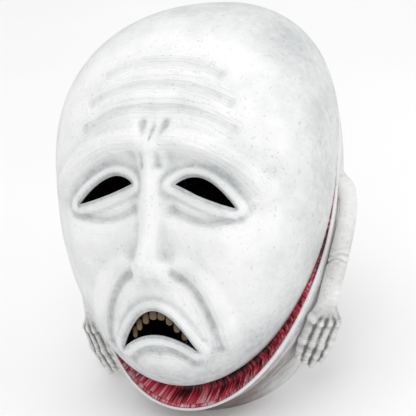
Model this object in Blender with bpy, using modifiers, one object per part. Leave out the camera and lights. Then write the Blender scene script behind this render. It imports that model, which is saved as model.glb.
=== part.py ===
"""A costume mask in rubber: a face, a raw band round it, a hood, teeth and two thin arms."""

import math

import bmesh
import bpy
import numpy as np
from mathutils import Matrix, Vector

# Sizes are in metres. The mask is drawn upright with its face towards -Y, and then
# leans back until its neck rim lies flat on z = 0.
WALL = 0.0025
CLEARANCE = 0.0003
LEAN_BACK = math.radians(20)

# The face's outline is an egg, and its front is a dome over that egg.
FACE_HALF_WIDTH = 0.126
FACE_RISE = 0.145
FACE_DROP = 0.185
FACE_CENTRE_Z = 0.243
EGG_TAPER = 0.12
EGG_POWER = 2.12
DOME_POWER = 2.9
FRONT_Y = -0.112
FRONT_LEAN = 0.019
EDGE_CROWN_Y = 0.043
EDGE_SIDE_Y = -0.009
EDGE_CHIN_Y = -0.052
# How the edge's Y runs from its sides to the crown and chin, and how much more it spreads
# sideways than up and down
EDGE_CURVE = 1.5
EDGE_SPREAD = 1.3
# The relief fades out towards the edge with this power of the egg's reach.
RELIEF = 0.010
RELIEF_FADE = 8
OPENING_ROLL = 0.0045
OPENING_ROLL_RADIUS = 0.0045

# The hood's front lip leaves the face's edge and becomes a jaw round the chin.
SEAM = 0.0020
LIP_OUT = 0.0158
LIP_FORWARD = 0.0185
LIP_DROP = 0.0065
LIP_GROWTH = 2.71
LIP_START = 0.733

# The hood runs back from its lip and down to the neck rim.
HOOD_DEPTH = 0.140
HOOD_HEIGHT = 0.300
NECK_HALF_WIDTH = 0.068
NECK_HALF_DEPTH = 0.0777
NECK_CENTRE_Y = 0.038
NECK_CENTRE_Z = 0.0540
THROAT_FOLD = 0.0022

# The band's section is a trough, deepest at the chin.
BAND_THICKNESS = 0.0025
BAND_OVERLAP = 0.004
BAND_TROUGH = 0.007
BAND_RIB = 0.0007
BAND_CLEARANCE = 0.0009
BAND_RIBS = 54
# The trough's two low places as shares of its width, and how deep the first one is
BAND_NEAR = 0.30
BAND_FAR = 0.65
BAND_NEAR_DEPTH = 0.9
# How far, in radians, the ribs crowd from the crown towards the chin, where it is wide
BAND_CROWDING = 0.35
# The share of the hood's length over which the band follows its lip
BAND_LEAD = 0.02

TOOTH_LENGTH = 0.011
TOOTH_THICKNESS = 0.0035
GUM_RADIUS = 0.0035
GUM_CLEARANCE = 0.0010
GUM_POINTS = 11

# A share of FACE_HALF_WIDTH
SHOULDER_ACROSS = 1.012
SHOULDER_Y = 0.008
SHOULDER_Z = 0.2255
ARM_DROP = 0.176
ARM_RADIUS = 0.0078
FINGER_RADIUS = 0.0046

FACE_COLUMNS = 30
FACE_ROWS = 34
# Under 1, this power draws the face's grid a little towards its edge.
FACE_GRID_POWER = 0.95
HOOD_LINES = 44
HOOD_RINGS = 12
ARM_VOXEL = 0.003
ARM_KEPT = 0.27

# Raised and hollow areas of the face. Places are shares of the egg: across of its half
# width, up of its rise or drop. Heights are shares of RELIEF.
# name, across, up, half width, half height, height
BUMPS = (
    ("nose tip", 0.0, -0.365, 0.105, 0.078, 1.5),
    ("nose wing", 0.115, -0.405, 0.055, 0.045, 0.65),
    ("eye socket", 0.37, -0.02, 0.28, 0.13, -1.2),
    ("eyeball", 0.37, -0.055, 0.21, 0.085, 0.8),
    ("cheekbone", 0.57, -0.27, 0.21, 0.12, 0.9),
    ("cheek hollow", 0.62, -0.60, 0.18, 0.16, -0.35),
    ("chin", 0.0, -0.865, 0.21, 0.070, 0.7),
    ("temple", 0.88, 0.12, 0.16, 0.26, -0.4),
)
# Ridges and grooves along a bend through three places, given as across and up.
# name, start, middle, end, width as a share of the half width, height
FOLDS = (
    ("nose bridge", (0.0, 0.18), (0.0, -0.10), (0.0, -0.34), 0.085, 1.35),
    ("brow", (0.09, 0.235), (0.42, 0.175), (0.74, -0.03), 0.085, 1.0),
    ("frown line", (0.05, 0.10), (0.055, 0.20), (0.08, 0.33), 0.035, -0.25),
    ("under the eye", (0.15, -0.13), (0.37, -0.18), (0.60, -0.16), 0.045, -0.3),
    ("cheek line", (0.15, -0.41), (0.34, -0.53), (0.45, -0.76), 0.050, -0.45),
    ("cheek fold", (0.22, -0.38), (0.42, -0.50), (0.54, -0.74), 0.080, 0.4),
    ("under the lip", (0.0, -0.785), (0.12, -0.79), (0.24, -0.84), 0.050, -0.35),
    ("low furrow", (0.0, 0.42), (0.27, 0.40), (0.52, 0.30), 0.050, -0.3),
    ("middle furrow", (0.0, 0.55), (0.25, 0.53), (0.48, 0.44), 0.050, -0.3),
    ("high furrow", (0.0, 0.68), (0.20, 0.665), (0.38, 0.60), 0.050, -0.25),
)
# Openings are the space between an upper and a lower bend that share their corners.
# first corner, upper middle, lower middle, last corner
EYE = ((0.16, -0.012), (0.35, 0.012), (0.37, -0.072), (0.58, -0.115))
MOUTH = ((-0.30, -0.775), (0.0, -0.585), (0.0, -0.700), (0.30, -0.775))

# How the hood's lines leave the lip and reach the neck, from the crown to the chin.
# angle, lip back, lip in, lip up, neck out, neck back, neck up: back is a share of
# HOOD_DEPTH, up of HOOD_HEIGHT, and in and out of FACE_HALF_WIDTH
HOOD_TABLE = (
    (90, 0.76, 0.00, -0.08, 0.00, 0.47, 0.50),
    (45, 0.74, 0.32, -0.10, 0.38, 0.44, 0.44),
    (0, 0.52, 0.18, 0.00, 0.32, 0.33, 0.28),
    (-30, 0.38, -0.10, 0.00, 0.30, 0.14, 0.13),
    (-60, 0.20, -0.05, -0.01, 0.20, -0.02, 0.04),
    (-90, 0.10, 0.00, -0.01, 0.00, -0.08, 0.02),
)
# Folds of the throat: angle, its spread, place along the line, its spread, height share
THROAT_FOLDS = (
    (-66, 15, 0.42, 0.13, 1.0),
    (-60, 17, 0.72, 0.10, -0.8),
    (-38, 9, 0.55, 0.12, 0.9),
)
# Places on the arm are measured from its shoulder: across is a share of FACE_HALF_WIDTH,
# back of HOOD_DEPTH and drop of ARM_DROP. Thickness is a share of ARM_RADIUS.
# name, across, back, drop, thickness
ARM_TABLE = (
    ("root", -0.117, 0.029, -0.015, 1.20),
    ("shoulder", 0.000, 0.000, 0.000, 1.05),
    ("upper arm", 0.028, -0.029, 0.121, 1.00),
    ("elbow", -0.006, -0.107, 0.311, 1.10),
    ("wrist", -0.075, -0.165, 0.530, 1.12),
    ("palm", -0.097, -0.179, 0.589, 1.20),
)
# name, knuckle, middle joint and tip, each as across, back and drop
FINGER_TABLE = (
    ("first", (-0.165, -0.222, 0.630), (-0.246, -0.215, 0.746), (-0.308, -0.172, 0.838)),
    ("second", (-0.126, -0.204, 0.646), (-0.197, -0.193, 0.762), (-0.270, -0.150, 0.865)),
    ("third", (-0.076, -0.172, 0.650), (-0.153, -0.157, 0.777), (-0.230, -0.122, 0.887)),
    ("fourth", (-0.042, -0.129, 0.656), (-0.092, -0.115, 0.762), (-0.170, -0.093, 0.861)),
)
# The thickness of the hand's rods at their two ends, in shares of FINGER_RADIUS
HEEL_ROD = (0.9, 1.2)
PALM_ROD = (1.3, 1.2)
NEAR_ROD = (1.15, 1.0)
FAR_ROD = (1.0, 0.75)
# How each arm hangs: name, side, its shoulder inwards, down and back in the same shares,
# and its splay and turn in degrees
ARMS = (
    ("arm_left", 1, 0.0, 0.0, 0.0, 0, 0),
    ("arm_right", -1, 0.027, 0.112, 0.040, 5.3, -15),
)
TOOTH_WIDTHS = (0.0052, 0.0056, 0.0062, 0.0070, 0.0070, 0.0062, 0.0056, 0.0052)
TOOTH_GAP = 0.0006


# The egg and the dome

def egg_place(across, up):
    """x and z of a place that is given in shares of the egg."""
    x = across * FACE_HALF_WIDTH * (1 + EGG_TAPER * up)
    z = FACE_CENTRE_Z + up * np.where(up > 0, FACE_RISE, FACE_DROP)
    return x, z


def egg_share(x, z):
    """The shares of the egg at x and z, which is egg_place the other way round."""
    up = z - FACE_CENTRE_Z
    up = np.clip(np.where(up > 0, up / FACE_RISE, up / FACE_DROP), -1, 1)
    return x / (FACE_HALF_WIDTH * (1 + EGG_TAPER * up)), up


def edge_y(sine):
    """Y of the face's edge, for a sine of 1 at the crown and -1 at the chin."""
    crown = np.clip(sine, 0, 1) ** EDGE_CURVE
    chin = np.clip(-sine, 0, 1) ** EDGE_CURVE
    return EDGE_SIDE_Y + (EDGE_CROWN_Y - EDGE_SIDE_Y) * crown + (EDGE_CHIN_Y - EDGE_SIDE_Y) * chin


def edge_point(angle):
    """The face's edge at an angle of 90 degrees at the crown and -90 at the chin."""
    cosine, sine = np.cos(angle), np.sin(angle)
    reach = (np.abs(cosine) ** EGG_POWER + np.abs(sine) ** EGG_POWER) ** (-1 / EGG_POWER)
    x, z = egg_place(cosine * reach, sine * reach)
    return np.stack([x, edge_y(sine), z], -1)


def edge_out(angle):
    """The unit direction that leads away from the face's edge, in the plane of X and Z."""
    out = np.stack([EDGE_SPREAD * np.cos(angle), 0 * angle, np.sin(angle)], -1)
    return out / np.linalg.norm(out, axis=-1, keepdims=True)


def dome_y(x, z):
    across, up = egg_share(x, z)
    reach = (np.abs(across) ** EGG_POWER + np.abs(up) ** EGG_POWER) ** (1 / EGG_POWER)
    edge = edge_y(up / np.maximum(np.hypot(across, up), 1e-9))
    front = FRONT_Y + FRONT_LEAN * up
    return edge - (edge - front) * (1 - np.clip(reach, 0, 1) ** DOME_POWER) ** (1 / DOME_POWER)


# The face's relief

def bend(start, middle, end, count=48):
    """Places along the parabola that runs through three places, in metres."""
    start, middle, end = (np.array(egg_place(*np.array(place, float))) for place in (start, middle, end))
    pull = 2 * middle - (start + end) / 2
    u = np.linspace(0, 1, count)[:, None]
    return (1 - u) ** 2 * start + 2 * u * (1 - u) * pull + u**2 * end


def outline(opening, count=12):
    """The closed outline of an opening, corner to corner and back."""
    first, upper, lower, last = opening
    top = bend(first, upper, last, count)
    bottom = bend(last, lower, first, count)
    return np.concatenate([top[:-1], bottom[:-1]])


def nearest(x, z, places):
    """The distance from each x and z to the nearest of the places."""
    gaps = np.hypot(x[..., None] - places[:, 0], z[..., None] - places[:, 1])
    return gaps.min(-1)


def relief(x, z):
    """How far the face stands out in front of its dome."""
    side = np.abs(x)
    across, up = egg_share(side, z)
    height = np.zeros_like(side)
    for _name, centre, level, half_width, half_height, share in BUMPS:
        spread = ((across - centre) / half_width) ** 2 + ((up - level) / half_height) ** 2
        height += share * np.exp(-spread)
    for _name, start, middle, end, width, share in FOLDS:
        gap = nearest(side, z, bend(start, middle, end))
        height += share * np.exp(-((gap / (width * FACE_HALF_WIDTH)) ** 2))
    height *= RELIEF
    for opening in (EYE, MOUTH):
        gap = nearest(side, z, outline(opening, 48))
        height += OPENING_ROLL * np.exp(-((gap / OPENING_ROLL_RADIUS - 1) ** 2))
    reach = (np.abs(across) ** EGG_POWER + np.abs(up) ** EGG_POWER) ** (1 / EGG_POWER)
    return height * (1 - np.clip(reach, 0, 1) ** RELIEF_FADE)


def face_y(x, z):
    return dome_y(x, z) - relief(x, z)


def inner_face(x, z):
    """The points on the inner side of the face's wall behind x and z."""
    step = 0.001
    y = face_y(x, z)
    slope_x = (face_y(x + step, z) - y) / step
    slope_z = (face_y(x, z + step) - y) / step
    inward = np.stack([-slope_x, np.ones_like(y), -slope_z], -1)
    inward /= np.linalg.norm(inward, axis=-1, keepdims=True)
    return np.stack([x, y, z], -1) + WALL * inward


# The hood

def lip_growth(angle):
    """0 above the temples, 1 at the chin."""
    return np.clip((LIP_START - np.sin(angle)) / (1 + LIP_START), 0, 1) ** LIP_GROWTH


def lip_offset(angle):
    """How far the hood's lip lies out from the face's edge and behind it."""
    growth = lip_growth(angle)
    out = LIP_OUT * growth + LIP_DROP * growth**3
    clear = (WALL + SEAM) / LIP_OUT
    forward = LIP_FORWARD * np.clip((growth - clear) / (1 - clear), 0, 1)
    return out, SEAM - forward


def lip_point(angle):
    out, back = lip_offset(angle)
    point = edge_point(angle) + edge_out(angle) * out[..., None]
    point[..., 1] += back
    return point


def neck_point(angle):
    """The neck rim, in the plane that leans back with the mask."""
    across = NECK_HALF_WIDTH * np.cos(angle)
    along = NECK_HALF_DEPTH * np.sin(angle)
    y = NECK_CENTRE_Y + along * math.cos(LEAN_BACK)
    z = NECK_CENTRE_Z + along * math.sin(LEAN_BACK)
    return np.stack([across, y, z], -1)


def table_column(angle, column):
    """A column of HOOD_TABLE at an angle, with a smooth step from row to row."""
    rows = HOOD_TABLE[::-1]
    level = np.degrees(np.arcsin(np.clip(np.sin(angle), -1, 1)))
    row = np.interp(level, [line[0] for line in rows], range(len(rows)))
    low = np.minimum(row.astype(int), len(rows) - 2)
    part = row - low
    part = (part + part * part * (3 - 2 * part)) / 2
    values = np.array([line[column] for line in rows])
    return values[low] * (1 - part) + values[low + 1] * part


def hood_point(angle, along):
    """A point of the hood's outer side, along 0 at the lip and 1 at the neck rim."""
    lip, neck = lip_point(angle), neck_point(angle)
    lip_back, lip_in, lip_up, neck_out, neck_back, neck_up = (
        table_column(angle, column) for column in range(1, 7)
    )
    side = FACE_HALF_WIDTH * np.cos(angle)
    leave = lip + np.stack([-lip_in * side, lip_back * HOOD_DEPTH, lip_up * HOOD_HEIGHT], -1)
    out = neck_out * side
    reach = neck + np.stack([out, neck_back * HOOD_DEPTH, neck_up * HOOD_HEIGHT], -1)
    s = along[..., None]
    point = (1 - s) ** 3 * lip + 3 * s * (1 - s) ** 2 * leave + 3 * s**2 * (1 - s) * reach + s**3 * neck
    level = np.degrees(np.arcsin(np.clip(np.sin(angle), -1, 1)))
    rise = np.zeros_like(angle)
    for centre, spread, place, length, share in THROAT_FOLDS:
        rise += share * np.exp(-(((level - centre) / spread) ** 2) - ((along - place) / length) ** 2)
    return point + edge_out(angle) * (THROAT_FOLD * rise)[..., None]


def hood_rings(beyond):
    """Rings of the hood from its lip to its neck rim, and one more that lies beyond the rim."""
    angles = np.linspace(0, 2 * math.pi, HOOD_LINES, endpoint=False) - math.pi / 2
    rings = [hood_point(angles, np.full_like(angles, along)) for along in np.linspace(0, 1, HOOD_RINGS)]
    down = np.array([0, math.sin(LEAN_BACK), -math.cos(LEAN_BACK)])
    rings.append(rings[-1] + beyond * down)
    return np.array(rings)


# Blender helpers

def clear_scene():
    for thing in list(bpy.data.objects):
        bpy.data.objects.remove(thing, do_unlink=True)


def new_collection(name):
    collection = bpy.data.collections.new(name)
    bpy.context.scene.collection.children.link(collection)
    return collection


def new_material(name, colour, roughness):
    material = bpy.data.materials.new(name)
    material.use_nodes = True
    surface = material.node_tree.nodes["Principled BSDF"]
    surface.inputs["Base Color"].default_value = (*colour, 1)
    surface.inputs["Roughness"].default_value = roughness
    surface.inputs["Metallic"].default_value = 0
    return material


def add_object(name, data, collection, parent, material=None):
    thing = bpy.data.objects.new(name, data)
    collection.objects.link(thing)
    thing.parent = parent
    if material:
        data.materials.append(material)
    return thing


def mesh_from(name, shape):
    mesh = bpy.data.meshes.new(name)
    shape.to_mesh(mesh)
    shape.free()
    mesh.shade_smooth()
    return mesh


def loft(rings, closed_section=False, capped=False):
    """A bmesh through rings of points, which may come back to the first ring or be capped by a fan."""
    shape = bmesh.new()
    rows = [[shape.verts.new(point) for point in ring] for ring in rings]
    pairs = list(zip(rows, rows[1:]))
    if closed_section:
        pairs.append((rows[-1], rows[0]))
    for this, following in pairs:
        for i in range(len(this)):
            shape.faces.new((this[i], this[i - 1], following[i - 1]))
            shape.faces.new((this[i], following[i - 1], following[i]))
    for row in (rows[0], rows[-1]) if capped else ():
        middle = shape.verts.new(sum((vert.co for vert in row), Vector()) / len(row))
        for i in range(len(row)):
            shape.faces.new((row[i - 1], row[i], middle))
    if capped:
        bmesh.ops.recalc_face_normals(shape, faces=shape.faces)
    shape.normal_update()
    return shape


def as_cutter(thing):
    thing.hide_render = True
    thing.display_type = "WIRE"
    return thing


def cut(thing, cutter):
    boolean = thing.modifiers.new("cut " + cutter.name, "BOOLEAN")
    boolean.operation = "DIFFERENCE"
    boolean.solver = "EXACT"
    boolean.object = cutter


def thicken(thing, thickness):
    solidify = thing.modifiers.new("wall", "SOLIDIFY")
    solidify.thickness = thickness
    solidify.offset = -1
    solidify.use_even_offset = True


def prism(points, front, back):
    """A bmesh prism along Y over a closed outline of x and z."""
    shape = bmesh.new()
    face = shape.faces.new([shape.verts.new((x, front, z)) for x, z in points])
    grown = bmesh.ops.extrude_face_region(shape, geom=[face])
    moved = [item for item in grown["geom"] if isinstance(item, bmesh.types.BMVert)]
    bmesh.ops.translate(shape, vec=(0, back - front, 0), verts=moved)
    bmesh.ops.recalc_face_normals(shape, faces=shape.faces)
    return shape


# The pieces

def face_sheet():
    """A square grid laid over the egg, so that its outer row is the face's edge."""
    shape = bmesh.new()
    bmesh.ops.create_grid(shape, x_segments=FACE_COLUMNS, y_segments=FACE_ROWS, size=1)
    square = np.array([vert.co[:2] for vert in shape.verts])
    disc_x = square[:, 0] * np.sqrt(1 - square[:, 1] ** 2 / 2)
    disc_z = square[:, 1] * np.sqrt(1 - square[:, 0] ** 2 / 2)
    reach = np.sin(np.clip(np.hypot(disc_x, disc_z), 0, 1) * math.pi / 2) ** FACE_GRID_POWER
    angle = np.arctan2(disc_z, disc_x)
    cosine, sine = np.cos(angle), np.sin(angle)
    reach *= (np.abs(cosine) ** EGG_POWER + np.abs(sine) ** EGG_POWER) ** (-1 / EGG_POWER)
    x, z = egg_place(cosine * reach, sine * reach)
    for vert, point in zip(shape.verts, np.stack([x, face_y(x, z), z], -1)):
        vert.co = point
    return shape


def add_face(pieces, cutters, lean, rubber):
    shell = add_object("face_shell", mesh_from("face_shell", face_sheet()), pieces, lean, rubber)
    thicken(shell, WALL)
    openings = {"mouth_cutter": outline(MOUTH), "eye_left_cutter": outline(EYE)}
    openings["eye_right_cutter"] = outline(EYE) * (-1, 1)
    for name, points in openings.items():
        # From well in front of the face to well behind it
        shape = prism(points, 2 * FRONT_Y, EDGE_CHIN_Y / 2)
        cut(shell, as_cutter(add_object(name, mesh_from(name, shape), cutters, lean)))
    return shell


def add_hood(pieces, cutters, lean, rubber):
    hood = add_object("hood", mesh_from("hood", loft(hood_rings(2 * WALL))), pieces, lean, rubber)
    thicken(hood, WALL)
    size = 4 * FACE_HALF_WIDTH
    shape = bmesh.new()
    bmesh.ops.create_cube(shape, size=size)
    floor = as_cutter(add_object("floor_cutter", mesh_from("floor_cutter", shape), cutters, lean))
    floor.rotation_euler.x = LEAN_BACK
    down = Vector((0, math.sin(LEAN_BACK), -math.cos(LEAN_BACK)))
    floor.location = Vector((0, NECK_CENTRE_Y, NECK_CENTRE_Z)) + down * size / 2
    cut(hood, floor)
    return hood


def band_section(angle, rib):
    """The closed section of the band at one angle, as points round it."""
    out, back = lip_offset(angle)
    half = BAND_THICKNESS / 2
    inside = WALL + BAND_CLEARANCE + half
    growth = float(lip_growth(angle))
    trough = BAND_TROUGH * growth + half * math.sqrt(growth) + rib
    lead = hood_point(angle, np.array(BAND_LEAD)) - lip_point(angle)
    lead = np.array((lead @ edge_out(angle), lead[1]))
    lead /= np.linalg.norm(lead)
    seat = np.array((out, back)) + lead * BAND_OVERLAP + np.array((-lead[1], lead[0])) * inside
    start = np.array((-inside, 0))
    near = start + BAND_NEAR * (seat - start)
    far = start + BAND_FAR * (seat - start)
    near[1] = max(near[1], 0) + BAND_NEAR_DEPTH * trough
    far[1] = max(far[1], 0) + trough
    line = np.array((start - (0, BAND_OVERLAP), start, near, far, seat))
    heading = np.gradient(line, axis=0)
    heading /= np.linalg.norm(heading, axis=1, keepdims=True)
    aside = heading[:, ::-1] * (1, -1) * half
    loop = np.concatenate([line + aside, (line - aside)[::-1]])
    along_y = np.array((0, 1, 0))
    return edge_point(angle) + loop[:, :1] * edge_out(angle) + loop[:, 1:] * along_y


def add_band(pieces, lean, raw):
    sections = []
    for i in range(2 * BAND_RIBS):
        turn = 2 * math.pi * i / (2 * BAND_RIBS)
        angle = np.array(turn - math.pi / 2 - BAND_CROWDING * math.sin(turn))
        rib = BAND_RIB * (1 if i % 2 else -1) * float(lip_growth(angle)) ** 0.5
        sections.append(band_section(angle, rib))
    shape = loft(sections, closed_section=True)
    bmesh.ops.recalc_face_normals(shape, faces=shape.faces)
    return add_object("raw_band", mesh_from("raw_band", shape), pieces, lean, raw)


def gum_centre(x):
    """The middle of the gum strip at x: close behind the inner side of the upper lip."""
    across = x / FACE_HALF_WIDTH
    corner = MOUTH[3][0]
    up = MOUTH[1][1] + (MOUTH[3][1] - MOUTH[1][1]) * (across / corner) ** 2
    z = egg_place(across, up)[1] + 2 * GUM_RADIUS
    reach = GUM_RADIUS + GUM_CLEARANCE
    steps = np.linspace(-2, 2, 17) * reach
    wall = inner_face(*(axis.ravel() for axis in np.meshgrid(x + steps, z + steps)))
    apart = np.hypot(wall[:, 0] - x, wall[:, 2] - z)
    beside = apart < reach
    hold = wall[beside, 1] + np.sqrt(reach**2 - apart[beside] ** 2)
    return Vector((x, float(hold.max()), float(z)))


def tooth_places():
    """The x of each tooth's middle and its width, from the right to the left."""
    span = sum(TOOTH_WIDTHS) + TOOTH_GAP * (len(TOOTH_WIDTHS) - 1)
    x = -span / 2
    places = []
    for width in TOOTH_WIDTHS:
        places.append((x + width / 2, width))
        x += width + TOOTH_GAP
    return places


def behind_wall(middle, ahead, width):
    """The tooth's middle, moved back where the face's wall would come too near its front."""
    turn = math.atan2(ahead.y, ahead.x)
    along = np.array((math.cos(turn), math.sin(turn)))
    back = np.array((-math.sin(turn), math.cos(turn)))
    reach = width / 2 + GUM_CLEARANCE
    x = middle.x + np.linspace(-2 * reach, 2 * reach, 17)
    z = middle.z + np.linspace(-TOOTH_LENGTH / 2, TOOTH_LENGTH / 2, 13)
    wall = inner_face(*(axis.ravel() for axis in np.meshgrid(x, z)))[:, :2] - (middle.x, middle.y)
    beside = np.abs(wall @ along) < reach
    hold = (wall[beside] @ back).max() + TOOTH_THICKNESS / 2 + GUM_CLEARANCE
    return middle + Vector((*back, 0)) * max(0.0, float(hold))


def add_teeth(pieces, lean, bone, flesh):
    places = tooth_places()
    end = places[-1][0] + places[-1][1]
    curve = bpy.data.curves.new("gum_strip", "CURVE")
    curve.dimensions = "3D"
    curve.bevel_depth = GUM_RADIUS
    curve.bevel_resolution = 1
    curve.use_fill_caps = True
    spline = curve.splines.new("POLY")
    spline.points.add(GUM_POINTS - 1)
    for point, x in zip(spline.points, np.linspace(-end, end, GUM_POINTS)):
        point.co = (*gum_centre(x), 1)
    add_object("gum_strip", curve, pieces, lean, flesh)
    for number, (x, width) in enumerate(places, 1):
        gum = gum_centre(x)
        ahead = gum_centre(x + width / 2) - gum_centre(x - width / 2)
        shape = bmesh.new()
        bmesh.ops.create_cube(shape, size=1)
        bmesh.ops.scale(shape, vec=(width, TOOTH_THICKNESS, TOOTH_LENGTH), verts=shape.verts)
        name = f"tooth_{number}"
        tooth = add_object(name, mesh_from(name, shape), pieces, lean, bone)
        tooth.data.shade_flat()
        underside = GUM_RADIUS * ahead.length / math.hypot(ahead.x, ahead.y) + abs(ahead.z) / 2
        middle = gum - Vector((0, 0, underside + 2 * CLEARANCE + TOOTH_LENGTH / 2))
        tooth.location = behind_wall(middle, ahead, width)
        tooth.rotation_euler.z = math.atan2(ahead.y, ahead.x)
        bevel = tooth.modifiers.new("worn edges", "BEVEL")
        bevel.width = TOOTH_THICKNESS / 4
        bevel.segments = 1


def arm_place(across, back, drop):
    """A place of the arm, measured from its shoulder."""
    return Vector((across * FACE_HALF_WIDTH, back * HOOD_DEPTH, -drop * ARM_DROP))


def add_bone(shape, start, end, start_radius, end_radius):
    """A tapered rod with a ball at each end."""
    run = end - start
    turn = Vector((0, 0, 1)).rotation_difference(run).to_matrix().to_4x4()
    middle = Matrix.Translation((start + end) / 2) @ turn
    bmesh.ops.create_cone(
        shape,
        cap_ends=True,
        segments=16,
        radius1=start_radius,
        radius2=end_radius,
        depth=run.length,
        matrix=middle,
    )
    for place, radius in ((start, start_radius), (end, end_radius)):
        ball = Matrix.Translation(place)
        bmesh.ops.create_icosphere(shape, subdivisions=2, radius=radius, matrix=ball)


def arm_shape():
    shape = bmesh.new()
    joints = [(arm_place(*row[1:4]), row[4] * ARM_RADIUS) for row in ARM_TABLE]
    for (start, thick), (end, thin) in zip(joints, joints[1:]):
        add_bone(shape, start, end, thick, thin)
    wrist, palm = joints[-2][0], joints[-1][0]
    for _name, *places in FINGER_TABLE:
        knuckle, middle, tip = (arm_place(*place) for place in places)
        ends = ((wrist, knuckle), (palm, knuckle), (knuckle, middle), (middle, tip))
        for (start, end), (thick, thin) in zip(ends, (HEEL_ROD, PALM_ROD, NEAR_ROD, FAR_ROD)):
            add_bone(shape, start, end, thick * FINGER_RADIUS, thin * FINGER_RADIUS)
    return shape


def add_arms(pieces, cutters, lean, rubber):
    core = loft(hood_rings(WALL), capped=True)
    for vert, normal in [(vert, vert.normal.copy()) for vert in core.verts]:
        vert.co += normal * CLEARANCE
    seat = as_cutter(add_object("hood_seat_cutter", mesh_from("hood_seat_cutter", core), cutters, lean))
    mesh = mesh_from("arm", arm_shape())
    for name, side, inward, drop, back, splay, turn in ARMS:
        arm = add_object(name, mesh.copy(), pieces, lean, rubber)
        shoulder = arm_place(SHOULDER_ACROSS - inward, back, drop) + Vector((0, SHOULDER_Y, SHOULDER_Z))
        arm.location = (side * shoulder.x, shoulder.y, shoulder.z)
        arm.rotation_euler = (0, math.radians(-side * splay), math.radians(side * turn))
        arm.scale.x = side
        remesh = arm.modifiers.new("one skin", "REMESH")
        remesh.mode = "VOXEL"
        remesh.voxel_size = ARM_VOXEL
        decimate = arm.modifiers.new("fewer faces", "DECIMATE")
        decimate.ratio = ARM_KEPT
        cut(arm, seat)


def centre_on_origin(lean, parts):
    """Moves the mask over the ground until its bounding box is centred on the origin."""
    bpy.context.view_layer.update()
    graph = bpy.context.evaluated_depsgraph_get()
    reach = []
    for thing in parts:
        evaluated = thing.evaluated_get(graph)
        mesh = evaluated.to_mesh()
        reach += [evaluated.matrix_world @ vert.co for vert in mesh.vertices]
        evaluated.to_mesh_clear()
    for axis in (0, 1):
        sides = [point[axis] for point in reach]
        lean.location[axis] -= (min(sides) + max(sides)) / 2


def build():
    clear_scene()
    pieces = new_collection("costume_mask")
    cutters = new_collection("cutters")
    rubber = new_material("pale rubber", (0.78, 0.77, 0.74), 0.75)
    raw = new_material("raw red rubber", (0.50, 0.04, 0.06), 0.5)
    flesh = new_material("dark flesh", (0.20, 0.02, 0.02), 0.5)
    bone = new_material("bone", (0.62, 0.48, 0.26), 0.5)
    lean = add_object("lean", None, pieces, None)
    lean.rotation_euler.x = -LEAN_BACK
    rim_height = NECK_CENTRE_Z * math.cos(LEAN_BACK) - NECK_CENTRE_Y * math.sin(LEAN_BACK)
    lean.location.z = -rim_height
    add_face(pieces, cutters, lean, rubber)
    add_hood(pieces, cutters, lean, rubber)
    add_band(pieces, lean, raw)
    add_teeth(pieces, lean, bone, flesh)
    add_arms(pieces, cutters, lean, rubber)
    parts = [thing for thing in pieces.objects if thing.type != "EMPTY"]
    centre_on_origin(lean, parts)


build()
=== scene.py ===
"""A rubber costume mask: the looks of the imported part, its floor, its light and its camera."""

import math

import bmesh
import bpy
import numpy as np
from mathutils import Matrix, Vector, noise
from mathutils.bvhtree import BVHTree
from mathutils.geometry import delaunay_2d_cdt


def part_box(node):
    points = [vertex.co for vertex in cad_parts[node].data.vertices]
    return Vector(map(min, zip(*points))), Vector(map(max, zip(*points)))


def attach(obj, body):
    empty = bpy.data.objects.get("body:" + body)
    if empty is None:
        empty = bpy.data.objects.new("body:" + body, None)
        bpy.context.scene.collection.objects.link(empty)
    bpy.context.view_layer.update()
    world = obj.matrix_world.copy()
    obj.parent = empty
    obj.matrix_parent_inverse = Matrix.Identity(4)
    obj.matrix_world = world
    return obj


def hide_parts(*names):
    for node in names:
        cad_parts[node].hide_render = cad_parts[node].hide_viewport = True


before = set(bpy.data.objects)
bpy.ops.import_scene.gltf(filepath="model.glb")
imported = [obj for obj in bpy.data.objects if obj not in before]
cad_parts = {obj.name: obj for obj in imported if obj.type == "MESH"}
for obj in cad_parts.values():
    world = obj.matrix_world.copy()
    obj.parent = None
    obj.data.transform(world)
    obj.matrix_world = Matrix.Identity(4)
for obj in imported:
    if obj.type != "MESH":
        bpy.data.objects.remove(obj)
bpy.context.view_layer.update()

# The sizes of the part, in metres. The mask is drawn upright with its face towards -Y,
# and then leans back as the part does.
WALL = 0.0025
LEAN_BACK = math.radians(20)
FACE_HALF_WIDTH = 0.126
FACE_RISE = 0.145
FACE_DROP = 0.185
FACE_CENTRE_Z = 0.243
EGG_TAPER = 0.12
EGG_POWER = 2.12
DOME_POWER = 2.9
FRONT_Y = -0.112
FRONT_LEAN = 0.019
EDGE_CROWN_Y = 0.043
EDGE_SIDE_Y = -0.009
EDGE_CHIN_Y = -0.052
# How the edge's Y runs from its sides to the crown and chin, and how much more it spreads
# sideways than up and down
EDGE_CURVE = 1.5
EDGE_SPREAD = 1.3
# The relief fades out towards the edge with this power of the egg's reach.
RELIEF = 0.010
RELIEF_FADE = 8
OPENING_ROLL = 0.0045
OPENING_ROLL_RADIUS = 0.0045
SEAM = 0.0020
LIP_OUT = 0.0158
LIP_FORWARD = 0.0185
LIP_DROP = 0.0065
LIP_GROWTH = 2.71
LIP_START = 0.733
HOOD_DEPTH = 0.140
HOOD_HEIGHT = 0.300
NECK_HALF_WIDTH = 0.068
NECK_HALF_DEPTH = 0.0777
NECK_CENTRE_Y = 0.038
NECK_CENTRE_Z = 0.0540
THROAT_FOLD = 0.0022
BAND_THICKNESS = 0.0025
BAND_OVERLAP = 0.004
BAND_TROUGH = 0.007
BAND_CLEARANCE = 0.0009
# The trough's two low places as shares of its width, and how deep the first one is
BAND_NEAR = 0.30
BAND_FAR = 0.65
BAND_NEAR_DEPTH = 0.9
# How far, in radians, the fibres crowd from the crown towards the chin
BAND_CROWDING = 0.35
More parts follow.
